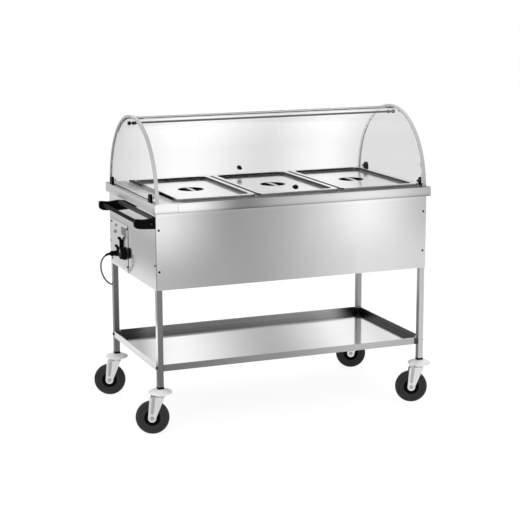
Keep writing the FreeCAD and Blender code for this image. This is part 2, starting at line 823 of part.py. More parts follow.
def biarc(p0, t0, p1, t1):
    # Two arcs that leave p0 along t0, meet smoothly and reach p1 along t1
    span, both, spread = p1 - p0, t0 + t1, 1 - t0.dot(t1)
    reach = span.dot(both)
    arm = (math.sqrt(reach ** 2 + 2 * spread * span.dot(span)) - reach) / (2 * spread)
    meet = (p0 + p1 + (t0 - t1) * arm) * 0.5
    halves = []
    for a, b, heading in ((p0, meet, t0), (meet, p1, t1)):
        chord = b - a
        side = heading if a is p0 else heading * -1
        base = a if a is p0 else b
        far = b if a is p0 else a
        toward = far - base
        along = toward.dot(side)
        sideways = toward - side * along
        radius = toward.dot(toward) / (2 * sideways.Length)
        centre = base + sideways * (radius / sideways.Length)
        middle = centre + ((a + chord * 0.5) - centre).normalize() * radius
        halves.append(Part.Arc(a, middle, b).toShape())
    return halves


def cord_coil():
    quarter = math.pi / 2
    angles = [k * quarter for k in range(int(round(4 * coil_turns)) + 1)]
    points = [coil_point(angle) for angle in angles]
    headings = [coil_heading(angle) for angle in angles]
    lead = 2 * cord_radius
    edges = [Part.LineSegment(points[0] - headings[0] * lead, points[0]).toShape()]
    for p0, t0, p1, t1 in zip(points, headings, points[1:], headings[1:]):
        edges += biarc(p0, t0, p1, t1)
    edges.append(Part.LineSegment(points[-1], points[-1] + headings[-1] * lead).toShape())
    path = Part.Wire(edges)
    print("coil gap to itself", round(coil_self_gap(edges), 2))
    return tube_on(path, points[0] - headings[0] * lead, headings[0])


def coil_self_gap(edges):
    # Points every few millimetres along the coil, each compared with those over half a turn away
    step, points = 3.0, []
    for edge in edges:
        points += edge.discretize(Number=max(2, int(edge.Length / step)))[:-1]
    apart = int(math.pi * coil_least_radius / step)
    least = min((a - b).Length for i, a in enumerate(points) for b in points[i + apart:])
    return least - 2 * cord_radius


def mains_plug():
    last = 2 * coil_turns * math.pi
    end = coil_point(last) + coil_heading(last) * 2 * cord_radius
    x, y, z = end.x, end.y, end.z
    relief = cone(cord_radius + fit_gap, plug_radius * 0.6, (x, y, z), (x, y, z - plug_relief_length))
    body_top = z - plug_relief_length
    body = rod(plug_radius, (x, y, body_top), (x, y, body_top - plug_length))
    tip = body_top - plug_length
    pins = [rod(plug_pin_radius, (x + s * plug_pin_spacing / 2, y, tip),
                (x + s * plug_pin_spacing / 2, y, tip - plug_pin_length)) for s in (-1, 1)]
    return joined([relief, body] + pins)


def handle_brackets():
    solids = []
    holes = [screw_hole(place, outward, bracket_bite) for place, outward in bracket_pins]
    x = -end_x - tube_out
    holes.append(rod(tube_radius + shaft_gap, (x, handle_front_y + bracket_width - tube_socket, tube_z),
                     (x, handle_rear_y - bracket_width + tube_socket, tube_z)))
    for y0 in (handle_front_y, handle_rear_y - bracket_width):
        outline = [(-end_x - reach, y0, handle_bottom + z) for reach, z in bracket_outline]
        solids.append(prism(outline, (0, bracket_width, 0)).cut(holes))
    return group(solids)


def handle_tube():
    x = -end_x - tube_out
    y0 = handle_front_y + bracket_width - tube_socket
    y1 = handle_rear_y - bracket_width + tube_socket
    tube = rod(tube_radius, (x, y0, tube_z), (x, y1, tube_z))
    return tube.cut(rod(tube_radius - tube_wall, (x, y0, tube_z), (x, y1, tube_z)))


def handle_back_rail():
    y0, y1 = handle_front_y + bracket_width, handle_rear_y - bracket_width
    z0 = handle_bottom + rail_up
    return block(-end_x - rail_thickness, -end_x, y0, y1, z0, z0 + rail_height)


def arch(radius0, radius1, x0, x1):
    outer = Part.makeCylinder(radius1, x1 - x0, vec(x0, 0, top_height), vec(1, 0, 0))
    inner = Part.makeCylinder(radius0, x1 - x0, vec(x0, 0, top_height), vec(1, 0, 0))
    return outer.cut(inner)


def dome_ends():
    solids = []
    for sx in (-1, 1):
        x0, x1 = sorted((sx * dome_end_x, sx * (dome_end_x - dome_end_sheet)))
        disc = rod(dome_radius, (x0, 0, top_height), (x1, 0, top_height))
        half = disc.common(block(x0, x1, -dome_radius, dome_radius, top_height, top_height + dome_radius))
        holes = [rod(tie_rod_radius + shaft_gap, (x0 - 1, 0, tie_rod_height), (x1 + 1, 0, tie_rod_height))]
        for sy in (-1, 1):
            z = top_height + clip_screw_height
            holes.append(rod_x(screw_radius + shaft_gap, x0 - 1, x1 + 1, sy * clip_y, z))
        solids.append(half.cut(holes))
    return group(solids)


def hinge_clear(sy):
    return rod_x(hinge_radius + fit_gap, -dome_end_x, dome_end_x, sy * ridge_half_width, hinge_z)


def hinge_web(sy, x0, x1, toward):
    # A web from the hinge's middle into the sheet on one side of it
    y = sy * ridge_half_width
    y0, y1 = sorted((y, y + sy * toward * (hinge_radius + 2 * fit_gap + 1)))
    band = block(x0, x1, y0, y1, hinge_z - dome_sheet, hinge_z + dome_sheet)
    return band.common(arch(dome_inner, sheet_radius, x0, x1))


def ridge_strip():
    top = top_height + sheet_radius
    strip = arch(dome_inner, sheet_radius, -sheet_x, sheet_x).common(
        block(-sheet_x, sheet_x, -ridge_half_width, ridge_half_width, top_height, top + 1))
    pieces = [strip.cut([hinge_clear(-1), hinge_clear(1)])]
    bores = []
    for sy in (-1, 1):
        y = sy * ridge_half_width
        for sx in (-1, 1):
            x0, x1 = sorted((sx * sheet_x, sx * (sheet_x - hinge_end_length)))
            pieces += [rod(hinge_radius, (x0, y, hinge_z), (x1, y, hinge_z)), hinge_web(sy, x0, x1, -1)]
        bores.append(rod_x(hinge_pin_radius, -sheet_x, sheet_x, y, hinge_z))
    return joined(pieces).cut(bores)


def flap(sy):
    y0, y1 = sorted((sy * ridge_half_width, sy * (sheet_radius + 1)))
    half_x = sheet_x - fit_gap
    shell = arch(dome_inner, sheet_radius, -half_x, half_x).common(
        block(-half_x, half_x, y0, y1, top_height + fit_gap, top_height + sheet_radius))
    y = sy * ridge_half_width
    x1 = sheet_x - hinge_end_length - fit_gap
    bead = rod(hinge_radius, (-x1, y, hinge_z), (x1, y, hinge_z))
    solid = joined([shell.cut(hinge_clear(sy)), bead, hinge_web(sy, -x1, x1, 1)])
    bores = [rod_x(hinge_pin_radius + shaft_gap, sx * (x1 - hinge_pin_reach), sx * (x1 + 1), y, hinge_z)
             for sx in (-1, 1)]
    bores.append(rod(screw_radius + shaft_gap, flap_knob_point(sy, -flap_knob_length),
                     flap_knob_point(sy, flap_knob_length)))
    return solid.cut(bores)


def hinge_pins():
    inner = sheet_x - hinge_end_length - hinge_pin_reach
    return group([rod_x(hinge_pin_radius, sx * inner, sx * sheet_x, sy * ridge_half_width, hinge_z)
                  for sx in (-1, 1) for sy in (-1, 1)])


def flap_knob_point(sy, distance):
    # A point on the knob's axis, square to the flap, at a distance out from its outer face
    rise = math.asin(flap_knob_height / sheet_radius)
    reach = sheet_radius + distance
    return (0, sy * reach * math.cos(rise), top_height + reach * math.sin(rise))


def flap_knob(sy):
    seat = 0.1
    stem = rod(flap_knob_stem_radius, flap_knob_point(sy, seat), flap_knob_point(sy, flap_knob_stem))
    head = cone(flap_knob_radius, flap_knob_radius * 0.8, flap_knob_point(sy, flap_knob_stem),
                flap_knob_point(sy, flap_knob_length))
    inside = -dome_sheet - seat
    nut = rod(flap_nut_radius, flap_knob_point(sy, inside - flap_nut_height), flap_knob_point(sy, inside))
    shank = rod(screw_radius, flap_knob_point(sy, inside), flap_knob_point(sy, seat))
    return joined([stem, head, shank, nut])


def tie_rod():
    reach = dome_end_x + tie_nut_length * 0.7
    return rod(tie_rod_radius, (-reach, 0, tie_rod_height), (reach, 0, tie_rod_height))


def tie_rod_nuts():
    solids = []
    hole = tie_rod()
    for sx in (-1, 1):
        nut = rod(tie_nut_radius, (sx * dome_end_x, 0, tie_rod_height),
                  (sx * (dome_end_x + tie_nut_length), 0, tie_rod_height))
        bush = rod(tie_bush_radius, (sx * (sheet_x - tie_bush_length), 0, tie_rod_height),
                   (sx * sheet_x, 0, tie_rod_height))
        solids += [nut.cut(hole), bush.cut(hole)]
    return group(solids)


def dome_clips():
    solids = []
    half = clip_width / 2
    for sx in (-1, 1):
        x0, x1 = sorted((sx * dome_end_x, sx * (dome_end_x + clip_thickness)))
        for sy in (-1, 1):
            y = sy * clip_y
            crown_z = top_height + clip_height - half
            foot = block(x0, x1, y - half, y + half, top_height, crown_z)
            crown = rod_x(half, x0, x1, y, crown_z)
            hole = rod_x(screw_radius + shaft_gap, sx * (dome_end_x - 1),
                         sx * (dome_end_x + clip_screw_bite + shaft_gap), y, top_height + clip_screw_height)
            solids.append(joined([foot, crown]).cut(hole))
    return group(solids)


def castor_place(shape, x, y):
    turned = shape.copy()
    turned.rotate(vec(0, 0, 0), vec(0, 0, 1), castor_turn)
    turned.translate(vec(x, y, 0))
    return turned


def castor_fork():
    half_gap = hub_width / 2 + fork_side_gap
    outer = half_gap + fork_sheet
    axle = (wheel_trail, wheel_radius)
    outline = ((-fork_back, fork_top), (fork_front, fork_top),
               (axle[0] + fork_end_radius, axle[1]), (axle[0] - fork_end_radius, axle[1]))
    rib_x0 = fork_front - fork_rib_width - 6
    pieces = []
    for side in (-1, 1):
        y0, y1 = sorted((side * half_gap, side * outer))
        pieces.append(prism([(x, y0, z) for x, z in outline], (0, y1 - y0, 0)))
        pieces.append(rod(fork_end_radius, (axle[0], y0, axle[1]), (axle[0], y1, axle[1])))
        r0, r1 = sorted((side * outer, side * (outer + fork_rib_height)))
        rib = ((rib_x0, fork_top), (rib_x0 + fork_rib_width, fork_top),
               (axle[0] + fork_rib_width / 2, axle[1] + fork_end_radius),
               (axle[0] - fork_rib_width / 2, axle[1] + fork_end_radius))
        pieces.append(prism([(x, r0, z) for x, z in rib], (0, r1 - r0, 0)))
    pieces.append(block(-fork_back, fork_front, -outer, outer, fork_top - fork_sheet, fork_top))
    pieces.append(rod(fork_crown_radius, (0, 0, fork_top), (0, 0, bumper_bottom - fit_gap)))
    holes = [rod(stem_radius + shaft_gap, (0, 0, wheel_radius * 2), (0, 0, leg_bottom)),
             rod(axle_radius + shaft_gap, (axle[0], -2 * outer, axle[1]), (axle[0], 2 * outer, axle[1]))]
    return joined(pieces).cut(holes)


def castor_axle():
    outer = hub_width / 2 + fork_side_gap + fork_sheet
    x, z = wheel_trail, wheel_radius
    end = outer + axle_head_length
    return joined([rod(axle_radius, (x, -end, z), (x, end, z)),
                   rod(axle_head_radius, (x, -end, z), (x, -outer, z)),
                   rod(axle_head_radius * 0.9, (x, outer, z), (x, end, z))])


def castor_hub():
    x, z = wheel_trail, wheel_radius

    def disc(radius, half):
        return rod(radius, (x, -half, z), (x, half, z))

    web, rim = disc(tyre_inner_radius, hub_web / 2), disc(tyre_inner_radius, tyre_width / 2 - 1)
    rim = rim.cut(disc(tyre_inner_radius - hub_rim, tyre_width))
    boss = disc(hub_boss_radius, hub_width / 2)
    return joined([web, rim, boss]).cut(disc(axle_radius + shaft_gap, hub_width))


def castor_tyre():
    x, z = wheel_trail, wheel_radius
    half, r0, r1, c = tyre_width / 2, tyre_inner_radius, wheel_radius, tyre_round
    s = c * math.sqrt(0.5)
    points = [vec(x, -half, z + r0), vec(x, -half, z + r1 - c), vec(x, -half + c - s, z + r1 - c + s),
              vec(x, -half + c, z + r1), vec(x, half - c, z + r1), vec(x, half - c + s, z + r1 - c + s),
              vec(x, half, z + r1 - c), vec(x, half, z + r0)]
    edges = [Part.LineSegment(points[0], points[1]).toShape(),
             Part.Arc(points[1], points[2], points[3]).toShape(),
             Part.LineSegment(points[3], points[4]).toShape(),
             Part.Arc(points[4], points[5], points[6]).toShape(),
             Part.LineSegment(points[6], points[7]).toShape(),
             Part.LineSegment(points[7], points[0]).toShape()]
    return Part.Face(Part.Wire(edges)).revolve(vec(x, 0, z), vec(0, 1, 0), 360)


def leg_insert():
    outer, half = leg_side / 2, leg_side / 2 - leg_wall - shaft_gap
    flange = block(-outer, outer, -outer, outer, bumper_top, leg_bottom)
    plug = block(-half, half, -half, half, leg_bottom, leg_bottom + insert_plug)
    hole = rod_z(stem_radius + shaft_gap, 0, 0, bumper_top - 1, leg_bottom + stem_in_insert + fit_gap)
    return joined([flange, plug]).cut(hole)


def castor_stem():
    low = fork_top - fork_sheet - fit_gap
    shank = rod_z(stem_radius, 0, 0, low - stem_head_height, leg_bottom + stem_in_insert)
    head = rod_z(stem_head_radius, 0, 0, low - stem_head_height, low)
    return joined([shank, head])


def castor_bumper():
    rim_top = bumper_bottom + bumper_edge
    edge = rod_z(bumper_radius, 0, 0, bumper_bottom, rim_top)
    crown = cone(bumper_radius, bumper_neck_radius, (0, 0, rim_top), (0, 0, bumper_top))
    return joined([edge, crown]).cut(rod_z(stem_radius + shaft_gap, 0, 0, bumper_bottom - 1, bumper_top + 1))


parts = {
    "legs": legs(),
    "lower_shelf": lower_shelf(),
    "shelf_bolts": shelf_bolts(),
    "front_panel": side_panel(-1),
    "rear_panel": side_panel(1),
    "left_panel": end_panel(-1),
    "right_panel": end_panel(1),
    "base_plate": base_plate(),
    "worktop": worktop(),
    "water_tank": water_tank(),
    "crossbars": crossbars(),
    "heating_element": heating_element(),
    "drain_valve": drain_valve(),
    "drain_lever": drain_lever(),
    "control_plate": control_plate(),
    "thermostat": thermostat(),
    "thermostat_knob": thermostat_knob(),
    "pilot_lamp": pilot_lamp(),
    "button_bezel": button_bezel(),
    "power_button": power_button(),
    "cord_hooks": cord_hooks(),
    "cable_gland": cable_gland(),
    "power_cord": power_cord(),
    "cord_coil": cord_coil(),
    "mains_plug": mains_plug(),
    "handle_brackets": handle_brackets(),
    "handle_tube": handle_tube(),
    "handle_back_rail": handle_back_rail(),
    "casing_screws": casing_screws(),
    "dome_ends": dome_ends(),
    "ridge_strip": ridge_strip(),
    "flap_front": flap(-1),
    "flap_rear": flap(1),
    "flap_knob_front": flap_knob(-1),
    "flap_knob_rear": flap_knob(1),
    "hinge_pins": hinge_pins(),
    "tie_rod": tie_rod(),
    "tie_rod_nuts": tie_rod_nuts(),
    "dome_clips": dome_clips(),
    "leg_inserts": group([leg_insert().translated(vec(x, y, 0)) for x, y in leg_places]),
    "castor_stems": group([castor_stem().translated(vec(x, y, 0)) for x, y in leg_places]),
    "castor_bumpers": group([castor_bumper().translated(vec(x, y, 0)) for x, y in leg_places]),
}
for number, x in enumerate(pan_xs, 1):
    parts["pan_%d" % number] = pan(x)
    parts["lid_%d" % number] = lid(x)
for (x, y), corner in zip(leg_places, ("front_left", "rear_left", "front_right", "rear_right")):
    parts["castor_fork_" + corner] = castor_place(group([castor_fork(), castor_axle()]), x, y)
    parts["castor_hub_" + corner] = castor_place(castor_hub(), x, y)
    parts["castor_tyre_" + corner] = castor_place(castor_tyre(), x, y)

# The origin goes on the floor under the middle of the trolley, measured without its cord
cord_parts = ("power_cord", "cord_coil", "mains_plug")
whole = FreeCAD.BoundBox()
for name, shape in parts.items():
    if name not in cord_parts:
        whole.add(shape.optimalBoundingBox(False, False))
origin_shift = vec(-whole.Center.x, -whole.Center.y, 0)

os.makedirs("parts", exist_ok=True)
for name, shape in parts.items():
    shape.translated(origin_shift).exportStep("parts/%s.step" % name)
print("parts", len(parts), "origin shift", round(origin_shift.x, 3), round(origin_shift.y, 3))
lengths = [round(length, 1) for length in (whole.XLength, whole.YLength, whole.ZLength)]
print("size", lengths, "floor", round(whole.ZMin, 3))
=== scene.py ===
import json
import math
import bmesh
import bpy
import numpy as np
from mathutils import Matrix, Vector


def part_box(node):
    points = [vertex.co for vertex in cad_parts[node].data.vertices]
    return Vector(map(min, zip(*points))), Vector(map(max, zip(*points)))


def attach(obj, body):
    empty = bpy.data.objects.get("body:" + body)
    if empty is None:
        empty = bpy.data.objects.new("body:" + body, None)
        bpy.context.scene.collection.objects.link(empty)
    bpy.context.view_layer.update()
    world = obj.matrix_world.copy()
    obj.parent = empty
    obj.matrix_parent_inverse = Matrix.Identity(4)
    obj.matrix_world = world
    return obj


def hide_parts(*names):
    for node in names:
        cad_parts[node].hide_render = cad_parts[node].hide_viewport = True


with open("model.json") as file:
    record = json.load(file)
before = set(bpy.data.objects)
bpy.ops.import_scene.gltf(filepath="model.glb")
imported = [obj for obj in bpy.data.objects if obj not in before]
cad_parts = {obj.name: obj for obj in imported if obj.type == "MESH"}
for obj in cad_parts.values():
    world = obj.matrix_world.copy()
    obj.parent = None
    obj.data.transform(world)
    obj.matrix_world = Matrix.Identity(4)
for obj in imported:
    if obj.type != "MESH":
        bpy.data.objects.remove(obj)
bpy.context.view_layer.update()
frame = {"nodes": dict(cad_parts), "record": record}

nodes = frame["nodes"]
topLow, topHigh = (np.array(corner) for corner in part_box("worktop"))
bodyMid = np.array([(topLow[0] + topHigh[0]) / 2, (topLow[1] + topHigh[1]) / 2, 0.0])
toRight, toRear, upward = np.eye(3)
toLeft = -toRight
pole = 0.01  # least radius, where a turned shape closes
print("frame loaded, body middle", np.round(bodyMid, 4))


def at(x, y, z):  # millimetres about the body's middle to metres in the frame
    return np.array([x, y, z]) / 1000 + bodyMid


# camera at the photograph's angle
camera = dict(place=(-2165.04, -5295.72, 1707.03), azimuth=21.99, elevation=11.37, roll=0.19, lens=103.65,
              sensor=36.0, farthest=100.0)


def makeCamera():  # looks along two angles, with its right level before the roll
    data = bpy.data.cameras.new("photoCamera")
    data.lens = camera["lens"]
    data.sensor_width = camera["sensor"]
    data.clip_end = camera["farthest"]
    cam = bpy.data.objects.new("photoCamera", data)
    az, el = math.radians(camera["azimuth"]), math.radians(camera["elevation"])
    forward = Vector((math.sin(az) * math.cos(el), math.cos(az) * math.cos(el), -math.sin(el)))
    right = Vector((math.cos(az), -math.sin(az), 0))
    up = right.cross(forward)
    turn = Matrix((right, up, -forward)).transposed().to_4x4()
    spin = Matrix.Rotation(-math.radians(camera["roll"]), 4, "Z")
    cam.matrix_world = Matrix.Translation(at(*camera["place"])) @ turn @ spin
    bpy.context.scene.collection.objects.link(cam)
    bpy.context.scene.camera = cam


makeCamera()
print("camera placed")


# small tools for shapes, with sizes in millimetres
def grid(points, wrap=True, caps=False):
    # one sheet of a piece: points in rows, quads between them that may close round, and end caps
    index = np.arange(points.shape[0] * points.shape[1]).reshape(points.shape[:2])
    here, following = (index, np.roll(index, -1, axis=1)) if wrap else (index[:, :-1], index[:, 1:])
    quads = np.stack([here[:-1], following[:-1], following[1:], here[1:]], axis=-1)
    faces = quads.reshape(-1, 4).tolist()
    if caps:
        faces += [index[0][::-1].tolist(), index[-1].tolist()]
    return points.reshape(-1, 3), faces


def makePiece(name, sheets, body, slot, replaced=(), material=None, others=(), bevel=None, solidify=None,
              crease=35):
    points, faces, finish, first = [], [], [], 0
    for sheet in sheets:  # points, faces, and which of the piece's materials
        sheetPoints, sheetFaces, which = (*sheet, 0)[:3]
        points.append(sheetPoints)
        faces += [[index + first for index in face] for face in sheetFaces]
        finish += [which] * len(sheetFaces)
        first += len(sheetPoints)
    mesh = bpy.data.meshes.new(name)
    mesh.from_pydata(np.concatenate(points), [], faces)
    for each in (material or finishes[slot], *others):
        mesh.materials.append(each)
    mesh.polygons.foreach_set("material_index", np.array(finish, dtype=np.int32))
    shape = bmesh.new()
    shape.from_mesh(mesh)
    bmesh.ops.remove_doubles(shape, verts=shape.verts, dist=1e-6)
    bmesh.ops.dissolve_degenerate(shape, edges=shape.edges, dist=1e-7)
    bmesh.ops.recalc_face_normals(shape, faces=shape.faces)
    shape.to_mesh(mesh)
    shape.free()
    mesh.polygons.foreach_set("use_smooth", np.ones(len(mesh.polygons), dtype=bool))
    mesh.set_sharp_from_angle(angle=math.radians(crease))
    piece = bpy.data.objects.new(name, mesh)
    bpy.context.scene.collection.objects.link(piece)
    if solidify:
        wall = piece.modifiers.new("wall", "SOLIDIFY")
        wall.thickness = solidify / 1000
        wall.offset = -1
    if bevel:
        edge = piece.modifiers.new("edge", "BEVEL")
        edge.width = bevel / 1000
        edge.segments = 3
        edge.limit_method = "ANGLE"
        edge.angle_limit = math.radians(40)
        edge.harden_normals = True
    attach(piece, body)
    if replaced:
        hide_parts(*replaced)
    return piece


def smoothLine(points, count):  # Catmull-Rom line through the points, evenly sampled by parameter
    points = np.asarray(points, float)
    padded = np.concatenate([2 * points[:1] - points[1:2], points, 2 * points[-1:] - points[-2:-1]])
    t = np.linspace(0, len(points) - 1 - 1e-9, count)
    k = t.astype(int)
    f = (t - k)[:, None]
    a, b, c, d = padded[k], padded[k + 1], padded[k + 2], padded[k + 3]
    return 0.5 * (2 * b + (c - a) * f + (2 * a - 5 * b + 4 * c - d) * f ** 2
                  + (3 * b - a - 3 * c + d) * f ** 3)


def roundedLoop(halfX, halfY, corner, steps):  # closed loop of a rounded rectangle, anticlockwise
    quarter = np.linspace(0, math.pi / 2, steps + 1)
    loops = []
    for k, (sx, sy) in enumerate(((1, 1), (-1, 1), (-1, -1), (1, -1))):
        angle = quarter + k * math.pi / 2
        loops.append(np.stack([sx * (halfX - corner) + corner * np.cos(angle),
                               sy * (halfY - corner) + corner * np.sin(angle)], axis=-1))
    return np.concatenate(loops)


def levelRing(place, loop):  # a loop laid level about a place
    return at(*place) + np.column_stack([loop, 0 * loop[:, 0]]) / 1000


def circle(count):  # unit circle as (cos, sin) of even steps
    angle = np.linspace(0, 2 * math.pi, count, endpoint=False)
    return np.column_stack([np.cos(angle), np.sin(angle)])


def lathe(profile, origin, axis, count):  # profile (radius, distance) turned about an axis
    profile = np.asarray(profile, float) / 1000
    axis = np.asarray(axis, float) / np.linalg.norm(axis)
    side = np.cross(axis, (0, 0, 1) if abs(axis[2]) < 0.9 else (1, 0, 0))
    side /= np.linalg.norm(side)
    spokes = circle(count) @ np.stack([side, np.cross(axis, side)])
    return origin + profile[:, :1, None] * spokes[None] + (profile[:, 1:2] * axis)[:, None]


def mirrored(half, middle=()):  # profile (radius, distance) of a turned shape with both sides alike
    return [(radius, -distance) for radius, distance in half[::-1]] + list(middle) + half


def sweep(path, section, across):
    # section (u, v) carried along a path; u lies along across, v square to both
    section = np.asarray(section) / 1000
    heading = np.gradient(path, axis=0)
    heading /= np.linalg.norm(heading, axis=1)[:, None]
    outward = np.cross(heading, across)
    return path[:, None] + section[None, :, :1] * across + section[None, :, 1:] * outward[:, None]


def slab(outline, origin, alongU, alongV, depth):  # flat outline (u, v) pushed through a thickness
    outline = np.asarray(outline, float) / 1000
    face = origin + outline[:, :1] * alongU + outline[:, 1:] * alongV
    return grid(np.stack([face, face + depth / 1000]), caps=True)


# shader groups and the nodes that they share
def newGroup(name, inputs, outputs):
    group = bpy.data.node_groups.new(name, "ShaderNodeTree")
    for label, kind, value in inputs:
        socket = group.interface.new_socket(label, in_out="INPUT", socket_type=kind)
        socket.default_value = value
    for label in outputs:
        group.interface.new_socket(label, in_out="OUTPUT", socket_type="NodeSocketFloat")
    return group, group.nodes.new("NodeGroupInput"), group.nodes.new("NodeGroupOutput")


def noise(tree, join, place, detail, scale=5.0, roughness=0.5):
    node = tree.new("ShaderNodeTexNoise")
    node.inputs["Scale"].default_value = scale
    node.inputs["Detail"].default_value = detail
    node.inputs["Roughness"].default_value = roughness
    join(place, node.inputs["Vector"])
    return node


def mapRange(tree, join, value, fromLow, fromHigh, toLow=0.0, toHigh=1.0, kind="LINEAR"):
    node = tree.new("ShaderNodeMapRange")
    node.interpolation_type = kind
    node.inputs["From Min"].default_value = fromLow
    node.inputs["From Max"].default_value = fromHigh
    node.inputs["To Min"].default_value = toLow
    node.inputs["To Max"].default_value = toHigh
    join(value, node.inputs["Value"])
    return node.outputs[0]


def mathNode(tree, join, operation, first, second):
    node = tree.new("ShaderNodeMath")
    node.operation = operation
    join(first, node.inputs[0])
    join(second, node.inputs[1])
    return node.outputs[0]


def sheetGrainGroup():  # long fine scratches of rolled steel, and a slow unevenness
    group, enter, leave = newGroup("sheetGrain", [("Stretch", "NodeSocketVector", (6, 900, 900))],
                                   ("Shade", "Rough", "Height"))
    tree, join = group.nodes, group.links.new
    place = tree.new("ShaderNodeTexCoord").outputs["Object"]
    stretched = tree.new("ShaderNodeVectorMath")
    stretched.operation = "MULTIPLY"
    join(place, stretched.inputs[0])
    join(enter.outputs["Stretch"], stretched.inputs[1])
    scratch = noise(tree, join, stretched.outputs[0], 4.0, scale=1.0, roughness=0.6).outputs["Fac"]
    slow = noise(tree, join, place, 2.0).outputs["Fac"]
    both = tree.new("ShaderNodeMath")
    both.operation = "MULTIPLY_ADD"
    both.inputs[1].default_value = 0.35  # share of the slow unevenness
    join(slow, both.inputs[0])
    join(scratch, both.inputs[2])
    join(mapRange(tree, join, both.outputs[0], 0.4, 0.95, 0.93, 1.04), leave.inputs["Shade"])
    join(mapRange(tree, join, scratch, 0.3, 0.7, 0.26, 0.40), leave.inputs["Rough"])
    join(scratch, leave.inputs["Height"])
    return group


def mouldGrainGroup():  # fine spark-eroded texture of moulded plastic and rubber, with a little dust
    group, enter, leave = newGroup("mouldGrain", [("Scale", "NodeSocketFloat", 900.0)],
                                   ("Shade", "Rough", "Height"))
    tree, join = group.nodes, group.links.new
    place = tree.new("ShaderNodeTexCoord").outputs["Object"]
    fine = noise(tree, join, place, 3.0)
    join(enter.outputs["Scale"], fine.inputs["Scale"])
    dust = noise(tree, join, place, 5.0, scale=35.0).outputs["Fac"]
    join(mapRange(tree, join, dust, 0.35, 0.75), leave.inputs["Shade"])
    join(mapRange(tree, join, dust, 0.3, 0.7, 0.38, 0.55), leave.inputs["Rough"])
    join(fine.outputs["Fac"], leave.inputs["Height"])
    return group


sheetGrain = sheetGrainGroup()
mouldGrain = mouldGrainGroup()


def grey(value):  # a grey as it shows on screen, 0 to 255, to a linear colour
    share = value / 255
    level = share / 12.92 if share <= 0.04045 else ((share + 0.055) / 1.055) ** 2.4
    return (level, level, level, 1.0)


def newMaterial(name):
    material = bpy.data.materials.new(name)
    material.use_nodes = True
    tree = material.node_tree
    return material, tree.nodes, tree.links.new, tree.nodes["Principled BSDF"]


def placeGroup(tree, group, **values):
    node = tree.new("ShaderNodeGroup")
    node.node_tree = group
    for label, value in values.items():
        node.inputs[label].default_value = value
    return node


def addBump(tree, join, height, shader, strength, distance):
    bump = tree.new("ShaderNodeBump")
    bump.inputs["Strength"].default_value = strength
    bump.inputs["Distance"].default_value = distance
    join(height, bump.inputs["Height"])
    join(bump.outputs["Normal"], shader.inputs["Normal"])


# slant: a skewed axis along which the shelf floor's painted reflections run
axes = dict(X=(1.0, 0, 0), Y=(0, 1.0, 0), Z=(0, 0, 1.0), slant=(1.0, -0.3, 0))


def sheen(tree, join, axis, stops):  # tones along one axis, in millimetres about the body's middle; on most steels and the rear sheet they are painted reflections and shade
    reach = tree.new("ShaderNodeVectorMath")
    reach.operation = "DOT_PRODUCT"
    reach.inputs[1].default_value = axes[axis]
    join(tree.new("ShaderNodeTexCoord").outputs["Object"], reach.inputs[0])
    low, high = stops[0][0], stops[-1][0]
    shift = float(np.dot(axes[axis], bodyMid))
    ramp = tree.new("ShaderNodeValToRGB")
    ramp.color_ramp.interpolation = "CARDINAL"
    while len(ramp.color_ramp.elements) < len(stops):
        ramp.color_ramp.elements.new(0.5)
    for element, (place, value) in zip(ramp.color_ramp.elements, stops):
        element.position = (place - low) / (high - low)
        element.color = grey(value)
    join(mapRange(tree, join, reach.outputs["Value"], low / 1000 + shift, high / 1000 + shift),
         ramp.inputs["Fac"])
    return ramp.outputs["Color"]


def mixColours(tree, join, under, over, blend="MIX"):
    mix = tree.new("ShaderNodeMix")
    mix.data_type = "RGBA"
    mix.blend_type = blend
    join(under, mix.inputs["A"])
    join(over, mix.inputs["B"])
    return mix


def times(tree, join, first, second):
    mix = mixColours(tree, join, first, second, "MULTIPLY")
    mix.inputs["Factor"].default_value = 1.0
    return mix.outputs["Result"]


def layer(tree, join, under, over, mask):
    mix = mixColours(tree, join, under, over)
    join(mask, mix.inputs["Factor"])
    return mix.outputs["Result"]


# masks: 0 at low and 1 at high, either way round
def axisMask(tree, join, vector, axis, low, high):
    split = tree.new("ShaderNodeSeparateXYZ")
    join(vector, split.inputs[0])
    return mapRange(tree, join, split.outputs[axis], low, high, kind="SMOOTHSTEP")


def facing(tree, join, axis, low, high):  # how far a face looks along an axis
    return axisMask(tree, join, tree.new("ShaderNodeNewGeometry").outputs["Normal"], axis, low, high)


def beyond(tree, join, axis, low, high):  # how far a point lies along an axis, in millimetres
    shift = bodyMid["XYZ".index(axis)]
    place = tree.new("ShaderNodeTexCoord").outputs["Object"]
    return axisMask(tree, join, place, axis, low / 1000 + shift, high / 1000 + shift)


def onTop(tree, join, axis, low, high):  # the same, on faces that look up
    return mathNode(tree, join, "MULTIPLY", facing(tree, join, "Z", 0.5, 0.8),
                    beyond(tree, join, axis, low, high))


def stripe(tree, join, axis, low, high):  # a narrow band between two places along an axis
    soft = 0.5
    return mathNode(tree, join, "MULTIPLY", beyond(tree, join, axis, low - soft, low + soft),
                    beyond(tree, join, axis, high + soft, high - soft))


